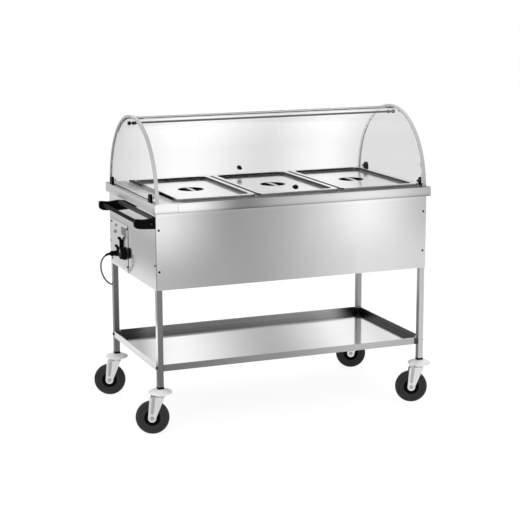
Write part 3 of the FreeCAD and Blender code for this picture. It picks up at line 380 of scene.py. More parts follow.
def steel(name, stops, axis="X", stretch=(6, 900, 900), bump=0.06, layers=(), polish=(), glance=1.0):
    # layers: (mask kind, mask axis, low, high, tone axis, tone stops), each laid over the last
    # polish: (mask kind, mask axis, low, high, roughness) of the mirror-like faces
    # glance: how much is left of the shine at a flat angle
    material, tree, join, shader = newMaterial(name)
    grain = placeGroup(tree, sheetGrain, Stretch=stretch)
    colour = sheen(tree, join, axis, stops)
    for kind, maskAxis, low, high, toneAxis, tones in layers:
        mask = kind(tree, join, maskAxis, low, high)
        colour = layer(tree, join, colour, sheen(tree, join, toneAxis, tones), mask)
    join(times(tree, join, colour, grain.outputs["Shade"]), shader.inputs["Base Color"])
    rough = grain.outputs["Rough"]
    for kind, maskAxis, low, high, value in polish:
        mix = tree.new("ShaderNodeMix")
        join(kind(tree, join, maskAxis, low, high), mix.inputs["Factor"])
        join(rough, mix.inputs["A"])
        mix.inputs["B"].default_value = value
        rough = mix.outputs["Result"]
    join(rough, shader.inputs["Roughness"])
    shader.inputs["Metallic"].default_value = 1.0
    shader.inputs["Specular Tint"].default_value = (glance, glance, glance, 1)
    addBump(tree, join, grain.outputs["Height"], shader, bump, 0.0003)
    return material


def moulded(name, dark, light, coat=0.0, specular=0.5):
    material, tree, join, shader = newMaterial(name)
    grain = placeGroup(tree, mouldGrain, Scale=900.0)
    mix = tree.new("ShaderNodeMix")
    mix.data_type = "RGBA"
    mix.inputs["A"].default_value = dark
    mix.inputs["B"].default_value = light
    join(grain.outputs["Shade"], mix.inputs["Factor"])
    join(mix.outputs["Result"], shader.inputs["Base Color"])
    join(grain.outputs["Rough"], shader.inputs["Roughness"])
    shader.inputs["Coat Weight"].default_value = coat
    shader.inputs["Specular IOR Level"].default_value = specular
    addBump(tree, join, grain.outputs["Height"], shader, 0.12, 0.0002)
    return material


def acrylic(name, stops, bend=1.15):  # clear sheet with faint wiping marks, toned along the trolley
    material, tree, join, shader = newMaterial(name)
    place = tree.new("ShaderNodeTexCoord").outputs["Object"]
    wipe = noise(tree, join, place, 6.0, scale=14.0).outputs["Fac"]
    join(mapRange(tree, join, wipe, 0.45, 0.8, 0.0, 0.035), shader.inputs["Roughness"])
    shade = mapRange(tree, join, wipe, 0.0, 1.0, 0.985, 1.0)
    join(times(tree, join, sheen(tree, join, "X", stops), shade), shader.inputs["Base Color"])
    shader.inputs["Transmission Weight"].default_value = 1.0
    shader.inputs["IOR"].default_value = bend
    return material


def frosted(name):  # pale sawn edge of a clear sheet, toned along the depth for each end; these tones, and the darker ring on the left, are painted shade and reflections
    material, tree, join, shader = newMaterial(name)
    grain = placeGroup(tree, mouldGrain, Scale=600.0)
    left = sheen(tree, join, "Y", [(-288, 178), (-200, 150), (-40, 172), (60, 215), (180, 235), (288, 206)])
    right = sheen(tree, join, "Y", [(-288, 170), (-150, 170), (0, 192), (100, 245), (288, 250)])
    edge = layer(tree, join, left, right, beyond(tree, join, "X", -10, 10))
    ring = layer(tree, join, sheen(tree, join, "X", [(-541, 170), (541, 200)]),
                 sheen(tree, join, "Y", [(-288, 195), (0, 205), (90, 252), (288, 255)]),
                 beyond(tree, join, "X", -10, 10))
    join(layer(tree, join, edge, ring, facing(tree, join, "X", -0.5, -0.8)), shader.inputs["Base Color"])
    join(grain.outputs["Rough"], shader.inputs["Roughness"])
    addBump(tree, join, grain.outputs["Height"], shader, 0.1, 0.0002)
    return material


# painted reflections and shade along the sheets, as tones: (place in millimetres, grey on screen)
frontLow = [(-525, 182), (-300, 166), (-80, 174), (230, 216), (340, 222), (525, 214)]
frontHigh = [(-544, 240), (-450, 222), (-330, 176), (-210, 161), (0, 189), (150, 226), (310, 248), (544, 190)]
leftTones = [(538, 210), (580, 192), (620, 164), (670, 150), (730, 160), (820, 190)]
shelfFloor = [(-520, 150), (-430, 238), (-300, 238), (-140, 186), (40, 150), (220, 216), (330, 242),
              (480, 216)]
shelfFold = [(-540, 110), (0, 122), (300, 150), (420, 200), (480, 215), (540, 140)]
shelfRear = [(-540, 78), (-450, 96), (-400, 158), (60, 176), (340, 198), (420, 186), (480, 92), (540, 70)]
shelfFront = [(-540, 112), (-250, 134), (0, 150), (250, 180), (540, 176)]
skirtTones = [(-553, 246), (-394, 246), (-250, 146), (-90, 174), (140, 220), (330, 232), (553, 180)]
rimReflectionTones = [(-262, 72), (-95, 76), (-45, 225), (60, 225), (110, 50), (262, 40)]
nearLegTones = [(178, 106), (255, 118), (290, 232), (395, 232), (430, 165), (540, 158)]
rearReflectionTones = [(-520, 222), (-330, 250), (-180, 253), (90, 224), (330, 251), (430, 249), (520, 232)]

finishes = {
    # casing: the ramps along the front and down the left face are painted reflections; the dark band past the
    # left corner is a painted shade line
    "casing_steel": steel("casingSteel", frontLow, layers=[
        (beyond, "Z", 560, 800, "X", frontHigh),
        (beyond, "X", -541, -543, "Z", [(538, 80), (820, 95)]),
        (facing, "X", -0.5, -0.8, "Z", leftTones)],
        polish=[(facing, "X", -0.5, -0.8, 0.12), (beyond, "Z", 802, 812, 0.1)]),
    # shelf: the ramps on the rear, front, floor, fold and left wall are painted reflections and shade; the
    # near-black right wall is painted shade
    "shelf_steel": steel("shelfSteel", shelfRear, bump=0.02, layers=[
        (beyond, "Y", -100, -110, "X", shelfFront),
        (facing, "X", -0.5, -0.8, "Z", [(236, 215), (262, 228)]),
        (beyond, "X", 500, 505, "Z", [(236, 52), (262, 78)]),
        (facing, "Z", 0.5, 0.7, "slant", shelfFloor),
        (onTop, "Y", 168, 182, "X", shelfFold)],
        polish=[(facing, "Z", 0.5, 0.7, 0.1)]),
    # legs: left legs darker than right, rear legs darker, left faces darker towards the foot: painted shade
    # and reflections
    "leg_steel": steel("legSteel", [(-540, 118), (0, 150), (540, 195)], stretch=(900, 900, 6), layers=[
        (beyond, "Y", 100, 110, "X", [(-540, 112), (0, 130), (540, 156)]),
        (facing, "X", -0.4, -0.8, "Z", [(178, 106), (330, 130), (540, 158)])]),
    "tank_steel": steel("tankSteel", [(-500, 190), (500, 200)]),
    # pans: faces that look to the front are painted darker, a painted shade
    "pan_steel": steel("panSteel", [(-500, 205), (0, 190), (500, 205)], layers=[
        (facing, "Y", -0.4, -0.8, "X", [(-500, 140), (500, 140)])]),
    # lids: the near-black walls, the grey walls that look rearward, the pale front edges and the near-white
    # floors are painted reflections
    "lid_steel": steel("lidSteel", [(-500, 26), (0, 32), (500, 48)], bump=0.02, layers=[
        (facing, "Y", 0.3, 0.7, "X", [(-500, 110), (500, 130)]),
        (beyond, "Y", -260, -263, "X", [(-500, 170), (500, 174)]),
        (facing, "Z", 0.75, 0.95, "X", [(-500, 252), (0, 250), (500, 253)])],
        polish=[(facing, "Z", 0.75, 0.95, 0.14)]),
    # plate: the dark faces along its front and top edges are painted shade
    "plate_steel": steel("plateSteel", [(549, 198), (620, 184), (720, 192)], axis="Z", bump=0.02,
                         stretch=(900, 6, 900), layers=[
        (facing, "Y", -0.5, -0.8, "Z", [(549, 60), (720, 60)]),
        (facing, "Z", 0.5, 0.8, "Z", [(549, 90), (720, 90)])],
        polish=[(facing, "X", -0.5, -0.8, 0.28)]),
    "fixing_steel": steel("fixingSteel", [(-500, 62), (500, 70)]),
    # dark bolts; the same dark also stands for the painted shade in the screws' crossed recess
    "dark_bolt": steel("darkBoltAndRecessShade", [(-500, 24), (500, 30)]),
    "heater_steel": steel("heaterSteel", [(-500, 120), (500, 130)]),
    "valve_brass": steel("valvePlate", [(450, 190), (640, 200)], axis="Z"),
    "lever_paint": moulded("leverDip", (0.30, 0.012, 0.01, 1), (0.42, 0.03, 0.025, 1), coat=0.3),
    "black_plastic": moulded("blackPlastic", grey(6), grey(14), specular=0.04),
    "grey_plastic": moulded("greyPlastic", grey(5), grey(12), specular=0.03),
    "thermostat_case": moulded("thermostatCase", grey(205), grey(222)),
    "lamp_lens": moulded("lampLens", grey(120), grey(150), coat=1.0),
    "button_plastic": moulded("buttonPlastic", grey(70), grey(95), coat=0.5),
    "cord_rubber": moulded("cordRubber", grey(78), grey(98)),
    "handle_coat": moulded("handleTubeCoat", grey(6), grey(14), specular=0.02),
    "clear_acrylic": acrylic("clearAcrylic", [(-600, 253), (600, 253)]),
    "castor_zinc": steel("castorZinc", [(-540, 215), (540, 222)], stretch=(60, 60, 30)),
    "hub_plastic": moulded("hubPlastic", grey(5), grey(12), specular=0.08),
    "tyre_rubber": moulded("tyreRubber", grey(30), grey(44), specular=0.25),
    "bumper_rubber": moulded("bumperRubber", grey(212), grey(228)),
}
# finishes of single pieces, or of some faces of a piece
# the lid grip's round recess painted near-black: painted shade in the recess
gripRecessShade = steel("gripRecessShade", [(-500, 12), (500, 18)], bump=0.03)
rimReflectionSteel = steel("rimReflectionSteel", rimReflectionTones, axis="Y", bump=0.02, glance=0.12)  # left rim of the first lid; its light and dark bands along the depth are painted reflections
lidBarSteel = steel("lidBarSteel", [(-500, 200), (500, 215)], bump=0.03)
railPlastic = moulded("railPlastic", grey(46), grey(60), specular=0.1)
bezelPlastic = moulded("bezelPlastic", grey(140), grey(160))
pointerPaint = moulded("pointerPaint", grey(215), grey(235))
labelFoil = steel("labelFoil", [(670, 92), (705, 90)], axis="Z", stretch=(900, 20, 900))
# a darker copy of the zinc for the fork's ribs and axle caps; on the ribs it is painted shade
forkRibShadeZinc = steel("forkRibShadeZinc", [(-540, 168), (540, 176)], stretch=(60, 60, 30))
# the near leg's copy of the steel: a painted bright reflection band on its left face, darker towards the foot
nearLegReflectionSteel = steel("nearLegReflectionSteel", [(178, 109), (540, 124)], axis="Z", stretch=(900, 900, 6), layers=[
    (facing, "X", -0.4, -0.8, "Z", nearLegTones)])
rodSteel = steel("rodSteel", [(-540, 6), (0, 10), (540, 18)])
# worktop: the ramps along the skirt, the left side, and the front and rear-left strips of the top are painted
# reflections; the dark line along the left edge is a painted shade line; a narrow band of set tone runs near
# the well's left end
topSteel = steel("topSteel", skirtTones, layers=[
    (facing, "X", -0.5, -0.8, "Y", [(-309, 215), (0, 208), (309, 200)]),
    (onTop, "Z", 840, 845, "X", [(-553, 205), (0, 205), (553, 205)]),
    (onTop, "Y", -258, -264, "X", [(-470, 246), (-430, 136), (0, 130), (553, 124)]),
    (onTop, "X", -468, -476, "Y", [(-309, 252), (-80, 244), (40, 226), (110, 184), (309, 176)]),
    (onTop, "X", -547.5, -548.5, "Y", [(-309, 44), (309, 44)]),
    (stripe, "X", -466, -464, "Z", [(820, 186), (856, 180)])],
    polish=[(facing, "X", -0.5, -0.8, 0.6)])
endAcrylic = acrylic("endAcrylic", [(-541, 246), (541, 223)], bend=1.05)
ridgeAcrylic = acrylic("ridgeAcrylic", [(-541, 150), (0, 158), (541, 172)])
# rear sheet: its tones along the trolley are painted reflections
rearAcrylic = acrylic("rearAcrylic", rearReflectionTones)
edgeAcrylic = frosted("edgeAcrylic")
ownFinish = dict(dome_ends=endAcrylic, ridge_strip=ridgeAcrylic, flap_rear=rearAcrylic, tie_rod=rodSteel)
print("materials", len(finishes))

for entry in frame["record"]["subparts"]:
    node = nodes[entry["node"]]
    node.data.materials.clear()
    node.data.materials.append(ownFinish.get(entry["node"], finishes[entry["material_slot"]]))
print("finishes on CAD nodes")


# supply cord: the route from the gland to the coil, then the coil's turns, as one line
cord = dict(
    radius=3.25,
    start=(-565.0, 193.0, 591.0),
    route=((-579.0, 193.0, 591.0), (-592.0, 193.5, 585.9), (-602.5, 194.5, 576.0), (-609.3, 197.0, 561.3),
           (-609.8, 203.5, 540.5), (-604.0, 215.5, 517.0), (-591.0, 234.5, 493.0), (-572.0, 260.5, 469.0),
           (-549.0, 291.0, 449.5), (-529.0, 321.0, 439.0), (-517.0, 339.0, 443.0), (-508.0, 354.0, 456.0),
           (-503.0, 363.5, 476.0), (-502.5, 364.5, 502.0), (-502.0, 359.0, 532.0), (-500.5, 347.0, 564.0),
           (-495.5, 331.0, 595.0), (-486.5, 313.0, 623.0)),
    lastRun=26.0,
    coilX=-430.0, coilZ=682.5, coilY=294.5, turns=5.5, pitch=7.3, leastRadius=26.0, stepsPerTurn=16)


def coilPoints():  # radius falls to the middle of the turns and grows again; the layer changes there
    last = 2 * math.pi * cord["turns"]
    angle = np.linspace(0, last, int(cord["turns"] * cord["stepsPerTurn"]) + 1)
    radius = cord["leastRadius"] + cord["pitch"] * np.abs(angle - last / 2) / (2 * math.pi)
    outer = np.clip((angle - last / 2) / math.pi + 0.5, 0, 1)
    # control points stand out from the line, so that the line itself keeps the radius
    radius = radius / (1 - (1 - math.cos(2 * math.pi / cord["stepsPerTurn"])) / 4)
    return np.stack([cord["coilX"] - radius * np.cos(angle), cord["coilY"] + outer * cord["pitch"],
                     cord["coilZ"] + radius * np.sin(angle)], axis=-1)


def makeCord():  # quadratic spline near its points, with a round section
    turns = coilPoints()
    lead = 2 * cord["radius"]
    low = turns[0] - (0, 0, lead)
    points = np.concatenate([[cord["start"]], cord["route"], [low - (0, 0, cord["lastRun"]), low], turns,
                             [turns[-1] - (0, 0, lead)]]) / 1000 + bodyMid
    curve = bpy.data.curves.new("supplyCord", "CURVE")
    curve.dimensions = "3D"
    spline = curve.splines.new("NURBS")
    spline.points.add(len(points) - 1)
    spline.points.foreach_set("co", np.column_stack([points, np.ones(len(points))]).ravel())
    spline.order_u = 3
    spline.use_endpoint_u = True
    spline.resolution_u = 6
    piece = bpy.data.objects.new("supplyCord", curve)
    bpy.context.scene.collection.objects.link(piece)
    bare = bpy.data.meshes.new_from_object(piece)
    line = np.empty(3 * len(bare.vertices))
    bare.vertices.foreach_get("co", line)
    bpy.data.meshes.remove(bare)
    curve.bevel_depth = cord["radius"] / 1000
    curve.bevel_resolution = 5
    curve.use_fill_caps = True
    curve.materials.append(finishes["cord_rubber"])
    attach(piece, "frame")
    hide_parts("power_cord", "cord_coil")
    return line.reshape(-1, 3)


tie = dict(halfX=15.0, halfY=8.3, corner=3.0, height=8.0, middle=4.0, wall=1.2)


def makeTie():  # strap round the coil's turns: one rounded loop raised at the side away from the gland
    x = cord["coilX"] + cord["leastRadius"] + cord["pitch"] * cord["turns"] / 4
    y = cord["coilY"] + cord["pitch"] / 2
    heights = cord["coilZ"] - tie["middle"] + np.linspace(0, tie["height"], 3)
    strap = roundedLoop(tie["halfX"], tie["halfY"], tie["corner"], 5)
    loops = np.array([levelRing((x, y, z), strap) for z in heights])
    makePiece("cordTie", [grid(loops)], "frame", "black_plastic", solidify=tie["wall"], crease=60)


cordLine = makeCord()  # the cord's middle, read from its spline
makeTie()
print("cord made")


# lids; rows are (inset from the edge, height, corner), with heights from the top or from the sunken floor
lid = dict(
    halfX=161.5, halfY=264.0, top=864.0, deep=10.0, wall=1.0, pitch=335.0, middle=27.0, leftRim=-454.0,
    flange=[(0.0, -4.9, 18), (0.0, -1.2, 18), (0.4, -0.4, 17.6), (1.2, 0.0, 17), (16.2, 0.0, 26),
            (17.6, -0.35, 25.6), (18.6, -1.3, 25), (19.4, -3.4, 24.6)],
    dish=[(20.4, 2.4, 24), (21.4, 0.6, 23.4), (23.2, 0.0, 22), (24.6, 0.0, 21)],
    # round recess of the grip: radius and height from the floor
    mouth=51.2, cup=[(50.0, 0.0), (49.2, -0.1), (48.4, -0.9), (47.6, -5.0), (45.6, -13.4), (44.0, -15.2),
                     (41.0, -15.9)],
    barReach=49.2, barLow=-2.6, barRise=1.6, barSection=(7.0, 2.2, 1.6))


def makeLid(number):  # rings from the edge over the flange, down the dish wall and into the round recess
    x = lid["middle"] + (number - 2) * lid["pitch"]
    floor = lid["top"] - lid["deep"]

    def ring(halfX, halfY, corner, z):
        return levelRing((x, 0, z), roundedLoop(halfX, halfY, corner, 10))

    rows = [(inset, lid["top"] + rise, corner) for inset, rise, corner in lid["flange"]]
    rows += [(inset, floor + rise, corner) for inset, rise, corner in lid["dish"]]
    dish = [ring(lid["halfX"] - inset, lid["halfY"] - inset, corner, z) for inset, z, corner in rows]
    grip = [ring(radius, radius, radius, floor + rise) for radius, rise in lid["cup"]]
    dish += [ring(lid["mouth"], lid["mouth"], lid["mouth"], floor), grip[0]]
    points, faces = grid(np.array(dish))
    quads = np.array(faces)
    left = points[quads][:, :, 0].mean(axis=1) < at(lid["leftRim"], 0, 0)[0]
    cupPoints, cupFaces = grid(np.array(grip))
    cupFaces.append(list(range(len(cupPoints) - len(grip[0]), len(cupPoints))))
    # the grip's recess takes the painted shade, the first lid's left rim its painted reflections
    sheets = [(points, quads[~left].tolist(), 0), (points, quads[left].tolist(), 2), (cupPoints, cupFaces, 1)]
    body = "lid_%d" % number
    makePiece("lid%d" % number, sheets, body, "lid_steel", [body], others=[gripRecessShade, rimReflectionSteel],
              solidify=lid["wall"])
    # bar across the recess: a section carried along a low parabola
    reach = np.linspace(-1, 1, 17)
    rise = lid["barLow"] + lid["barRise"] * (1 - reach ** 2)
    path = at(x, 0, floor) + np.column_stack([0 * reach, lid["barReach"] * reach, rise]) / 1000
    bar = sweep(path, roundedLoop(*lid["barSection"], 4), toRight)
    makePiece("lidBar%d" % number, [grid(bar, caps=True)], body, "lid_steel", material=lidBarSteel)


for number in (1, 2, 3):
    makeLid(number)
print("lids made")


# cover
cover = dict(radius=288.5, outer=541.0, sheet=12.0, ring=9.0, foot=855.0)
rod = dict(height=1114.0, radius=3.8, thin=3.0, bush=517.0, reach=547.3)


def makeEndPanels():  # clear half discs, with a pale ring and edge along the arc
    angle = np.linspace(0, math.pi, 121)
    arc = np.column_stack([0 * angle, -np.cos(angle), np.sin(angle)])
    large, small = cover["radius"], cover["radius"] - cover["ring"]
    sheets = []
    for side in (-1, 1):
        outer, inner = side * cover["outer"], side * (cover["outer"] - cover["sheet"])
        rows = [at(x, 0, cover["foot"]) + arc * radius / 1000
                for x, radius in ((outer, small), (outer, large), (inner, large), (inner, small))]
        points, rim = grid(np.array(rows), wrap=False)
        count = len(angle)
        last = count - 1
        clear = [list(range(count)), list(range(3 * count, 4 * count)),
                 [count, 0, last, count + last, 2 * count + last, 3 * count + last, 3 * count, 2 * count]]
        sheets += [(points, rim, 1), (points, clear, 0)]
    makePiece("coverEnds", sheets, "frame", "clear_acrylic", ["dome_ends"], endAcrylic, [edgeAcrylic])


def makeRod():  # turned: full between the bushes, thinner where it goes through the end panels
    half = [(rod["radius"], rod["bush"] - 0.5), (rod["thin"], rod["bush"] - 0.1), (rod["thin"], rod["reach"]),
            (pole, rod["reach"])]
    bar = lathe(mirrored(half), at(0, 0, rod["height"]), toRight, 32)
    makePiece("tieRod", [grid(bar, caps=True)], "frame", "fixing_steel", ["tie_rod"], rodSteel)


makeEndPanels()
makeRod()
print("cover ends made")


# castors; profiles are (radius, distance) from the wheel's middle or up from the floor
castor = dict(
    turn=157.4, legX=531.8, legY=275.3, trail=30.0, radius=62.5, crown=(62.4, 0),
    tyre=[(61.7, 8.2), (59.4, 12.4), (55.5, 15.0), (51, 15.8), (47.4, 15.5), (46.4, 14.6), (45, 14.7),
          (44, 15.7), (39, 15.9), (33, 15.3), (30.1, 14.2)],
    hub=[(30, 14.6), (28, 14.8), (26.2, 13.6), (24.6, 8.4), (22, 7.0), (13.5, 7.2), (11.4, 9.5), (10.8, 17),
         (9.8, 17.9), (4.2, 17.9)],
    # fork: outlines along the trail and up, and how far from the middle each lies
    cheekTop=[(-14, 142), (36, 142), (39.5, 130)], cheekBack=(-13, 133), cheekEnd=15.0, cheekIn=18.5,
    cheekWall=3.0, rib=[(17, 139), (30, 139), (35, 84), (33, 79), (27, 79), (24.5, 83)], ribIn=21.4,
    ribWall=2.0, cap=[(pole, 21.4), (7.4, 21.4), (7.4, 24.8), (6.4, 26.2), (pole, 26.4)],
    bridge=[(-14, -21.5), (36, -21.5), (36, 21.5), (-14, 21.5)], bridgeLow=139.0, bridgeWall=3.0,
    neck=[(pole, 142), (19.8, 142), (19.8, 148), (18.5, 151), (14, 153.4), (pole, 153.6)],
    bumper=[(6.2, 154.1), (24, 154.1), (40.5, 154.3), (43, 155.2), (43.9, 157), (43.4, 159.4), (41, 161.3),
            (34, 164.4), (25, 167.6), (16.5, 169.6), (6.2, 169.9)])
corners = dict(front_left=(-1, -1), rear_left=(-1, 1), front_right=(1, -1), rear_right=(1, 1))


def makeCastor(corner, sx, sy):  # in its own turned frame: along the trail, across along the axle
    turn = math.radians(castor["turn"])
    along = np.array([math.cos(turn), math.sin(turn), 0])
    across = np.array([-math.sin(turn), math.cos(turn), 0])
    foot = at(sx * castor["legX"], sy * castor["legY"], 0)
    hub = foot + (along * castor["trail"] + upward * castor["radius"]) / 1000
    ending = "".join(word.capitalize() for word in corner.split("_"))
    # tyre and hub: closed profiles turned about the axle
    tread = mirrored(castor["tyre"], [castor["crown"]])
    tyre = lathe(np.concatenate([smoothLine(tread, 89), tread[:1]]), hub, across, 96)
    makePiece("tyre" + ending, [grid(tyre)], "wheel_" + corner, "tyre_rubber", ["castor_tyre_" + corner],
              crease=50)
    rim = mirrored(castor["hub"])
    makePiece("hub" + ending, [grid(lathe(rim + rim[:1], hub, across, 72))], "wheel_" + corner,
              "hub_plastic", ["castor_hub_" + corner], crease=50)
    # fork: flat cheeks, straight to the rounded end about the axle, with ribs, axle caps, bridge and neck
    swing = np.radians(np.linspace(8, -188, 21))
    end = castor["cheekEnd"] * np.column_stack([np.cos(swing), np.sin(swing)])
    cheek = np.concatenate([castor["cheekTop"], end + (castor["trail"], castor["radius"]),
                            [castor["cheekBack"]]])
    sheets = []
    for outward, sides in ((-across, 24), (across, 6)):
        sheets.append(slab(cheek, foot + outward * castor["cheekIn"] / 1000, along, upward,
                           outward * castor["cheekWall"]))
        rib = slab(castor["rib"], foot + outward * castor["ribIn"] / 1000, along, upward,
                   outward * castor["ribWall"])
        cap = grid(lathe(castor["cap"], hub, outward, sides))
        # ribs and axle caps take the darker copy, painted shade on the ribs
        sheets += [(*rib, 1), (*cap, 1)]
    sheets.append(slab(castor["bridge"], foot + upward * castor["bridgeLow"] / 1000, along, across,
                       upward * castor["bridgeWall"]))
    sheets.append(grid(lathe(castor["neck"], foot, upward, 48)))
    makePiece("fork" + ending, sheets, "castor_" + corner, "castor_zinc", ["castor_fork_" + corner],
              others=[forkRibShadeZinc], bevel=0.9)
    return grid(lathe(smoothLine(castor["bumper"], 40), foot, upward, 72))


bumpers = [makeCastor(corner, *signs) for corner, signs in corners.items()]
makePiece("bumperDiscs", bumpers, "frame", "bumper_rubber", ["castor_bumpers"], crease=60)
print("castors made")


leg = dict(half=10.95, corner=2.4, foot=178.0, top=853.4)


def makeLegs():  # square tubes: one rounded loop drawn up, with the near leg in its own copy of the steel, which carries its painted reflections and shade
    loop = roundedLoop(leg["half"], leg["half"], leg["corner"], 6)
    sheets = []
    for sx, sy in corners.values():
        x, y = sx * castor["legX"], sy * castor["legY"]
        rows = [levelRing((x, y, z), loop) for z in (leg["foot"], leg["top"])]
        sheets.append(grid(np.array(rows), caps=True))
    # the near leg takes the copy with painted reflections
    sheets[0] = (*sheets[0], 1)
    makePiece("legTubes", sheets, "frame", "leg_steel", ["legs"], others=[nearLegReflectionSteel], crease=50)


makeLegs()

# push handle; the bracket's outline goes out from the casing and up
casing = dict(halfX=544.0, halfY=287.5)
handle = dict(
    front=-287.5, rear=175.0, width=18.0, out=62.0, z=790.0, bottom=764.0, tube=7.0, tubeIn=8.0,
    bracket=[(0, 40), (20, 37.5), (40, 36), (54, 37.3), (62, 38.8), (70, 39), (75, 37.4), (77, 33), (77, 18),
             (75.6, 12.6), (72, 8.6), (64, 5), (50, 3), (25, 1.5), (0, 0)],
    railX=-546.5, railZ=798.5, railSection=(2.45, 7.5, 1.2))


def makeHandle():  # brackets: a smooth outline pushed through their width; tube turned; rail a rounded bar
    face = smoothLine(handle["bracket"], 70)
    sheets = [slab(face, at(-casing["halfX"], y, handle["bottom"]), toLeft, upward, toRear * handle["width"])
              for y in (handle["front"], handle["rear"] - handle["width"])]
    makePiece("handleBrackets", sheets, "frame", "grey_plastic", ["handle_brackets"], bevel=2.2)
    span = handle["rear"] - handle["front"] - 2 * handle["tubeIn"]
    end = at(-casing["halfX"] - handle["out"], handle["front"] + handle["tubeIn"], handle["z"])
    tube = lathe([(pole, 0), (handle["tube"], 0), (handle["tube"], span), (pole, span)], end, toRear, 40)
    makePiece("handleTube", [grid(tube)], "frame", "handle_coat", ["handle_tube"])
    start = at(handle["railX"], handle["front"] + handle["width"], handle["railZ"])
    length = handle["rear"] - handle["front"] - 2 * handle["width"]
    rail = slab(roundedLoop(*handle["railSection"], 4), start, toRight, upward, toRear * length)
    makePiece("handleRail", [rail], "frame", "grey_plastic", ["handle_back_rail"], railPlastic, crease=50)


makeHandle()
print("legs and handle made")


# controls on the handle end; places are (y, z) on the plate's face, profiles (radius, distance out)
plateX = -545.5
knob = dict(
    place=(90, 608), back=1.6, skirt=[(24.2, 1.6), (25, 2.6), (25, 5.4), (24.2, 6.8), (22.4, 7.4)],
    body=[(21.9, 7.8), (21.6, 12), (21.0, 17.6), (20.2, 19.2), (18.6, 19.95), (12, 20), (pole, 20)],
    gripFrom=7.8, gripTo=19.5, grooves=18, groove=0.035,
    pointer=[(-1.2, 4), (1.2, 4), (1.2, 18), (-1.2, 18)], pointerOut=19.8, pointerWall=0.8)
lamp = dict(
    place=(203, 700),
    profile=[(6.5, 0), (6.5, 1.2), (5.9, 2), (5, 2.1), (4.6, 3.4), (3, 4.6), (pole, 5)])
button = dict(
    place=(211, 674), bezel=[(4.6, -8), (4.6, 2.2), (5.2, 3), (6.6, 2.9), (7.4, 1.8), (7.5, 0)],
    cap=[(4.45, -10), (4.45, 3.8), (4, 4.7), (2.5, 4.95), (pole, 5)])
hooks = dict(
    places=((124, 622), (164, 585)), section=(5.5, 5.2, 3.0),
    curl=[(5.3, 0), (5.3, 14), (5.3, 25), (6.2, 33), (9.4, 39.2), (12.4, 41), (15.9, 41.2)],
    rearPlace=(-430, 287.5, 707.4), rearSection=(7.0, 2.5, 1.2),
    rearCurl=[(2.5, -40), (2.5, -20), (2.6, -6), (5, -2.6), (12, -2.5), (20, -2.5), (23.2, -0.8), (23.5, 3),
              (23.5, 9)])
gland = dict(
    place=(193, 591), nut=12.0, nutWall=9.0, seat=8.9, mouth=(3.4, 28.7),
    cap=[(8.4, 8.9), (8.6, 13), (10.4, 14), (10.8, 16), (10.6, 22), (9.4, 25.4), (7, 28), (5.8, 28.6)],
    sleeveFrom=7.0, sleeveTo=30.0, wide=5.6, thin=3.9, grooves=6, groove=0.4)  # sleeve along the cord
label = dict(place=(99, 691), section=(32.0, 15.5, 2.0), wall=0.4)


def onPlate(control, out=0.0):
    return at(plateX - out, *control["place"])


def makeKnob():  # turned; the gripped part's radius dips round its edge, as the square of a cosine
    rows = np.concatenate([[(pole, knob["back"])], smoothLine(knob["skirt"], 16), knob["body"]])
    points = lathe(rows, onPlate(knob), toLeft, 144)
    middles = onPlate(knob) + rows[:, 1:, None] * toLeft / 1000
    angle = np.linspace(0, 2 * math.pi, 144, endpoint=False)
    dip = 1 - knob["groove"] * np.clip(np.cos(knob["grooves"] * angle), 0, 1) ** 2
    gripped = (rows[:, 1] >= knob["gripFrom"]) & (rows[:, 1] < knob["gripTo"])
    points[gripped] = (middles + (points - middles) * dip[:, None])[gripped]
    makePiece("thermostatKnob", [grid(points)], "thermostat_knob", "black_plastic", ["thermostat_knob"])
    line = slab(knob["pointer"], onPlate(knob, knob["pointerOut"]), toRear, upward,
                toLeft * knob["pointerWall"])
    makePiece("knobPointer", [line], "thermostat_knob", "black_plastic", material=pointerPaint)


def makeLampAndButton():  # smooth profiles turned about the way out of the plate
    def turned(control, profile, rows, count):
        return [grid(lathe(smoothLine(profile, rows), onPlate(control), toLeft, count))]

    makePiece("pilotLamp", turned(lamp, lamp["profile"], 36, 48), "frame", "lamp_lens", ["pilot_lamp"])
    makePiece("buttonBezel", turned(button, button["bezel"], 30, 48), "frame", "black_plastic",
              ["button_bezel"], bezelPlastic)
    makePiece("powerButton", turned(button, button["cap"], 30, 40), "power_button", "button_plastic",
              ["power_button"])


def makeHooks():  # rounded sections carried along a curl, two on the plate and one at the rear
    curl = smoothLine(hooks["curl"], 40)
    sheets = []
    for y, z in hooks["places"]:
        path = at(plateX, y, z) + np.column_stack([-curl[:, 0], 0 * curl[:, 0], curl[:, 1]]) / 1000
        sheets.append(grid(sweep(path, roundedLoop(*hooks["section"], 5), toRear), caps=True))
    curl = smoothLine(hooks["rearCurl"], 48)
    path = at(*hooks["rearPlace"]) + np.column_stack([0 * curl[:, 0], curl]) / 1000
    sheets.append(grid(sweep(path, roundedLoop(*hooks["rearSection"], 4), toRight), caps=True))
    makePiece("cordHooks", sheets, "frame", "black_plastic", ["cord_hooks"], crease=50)


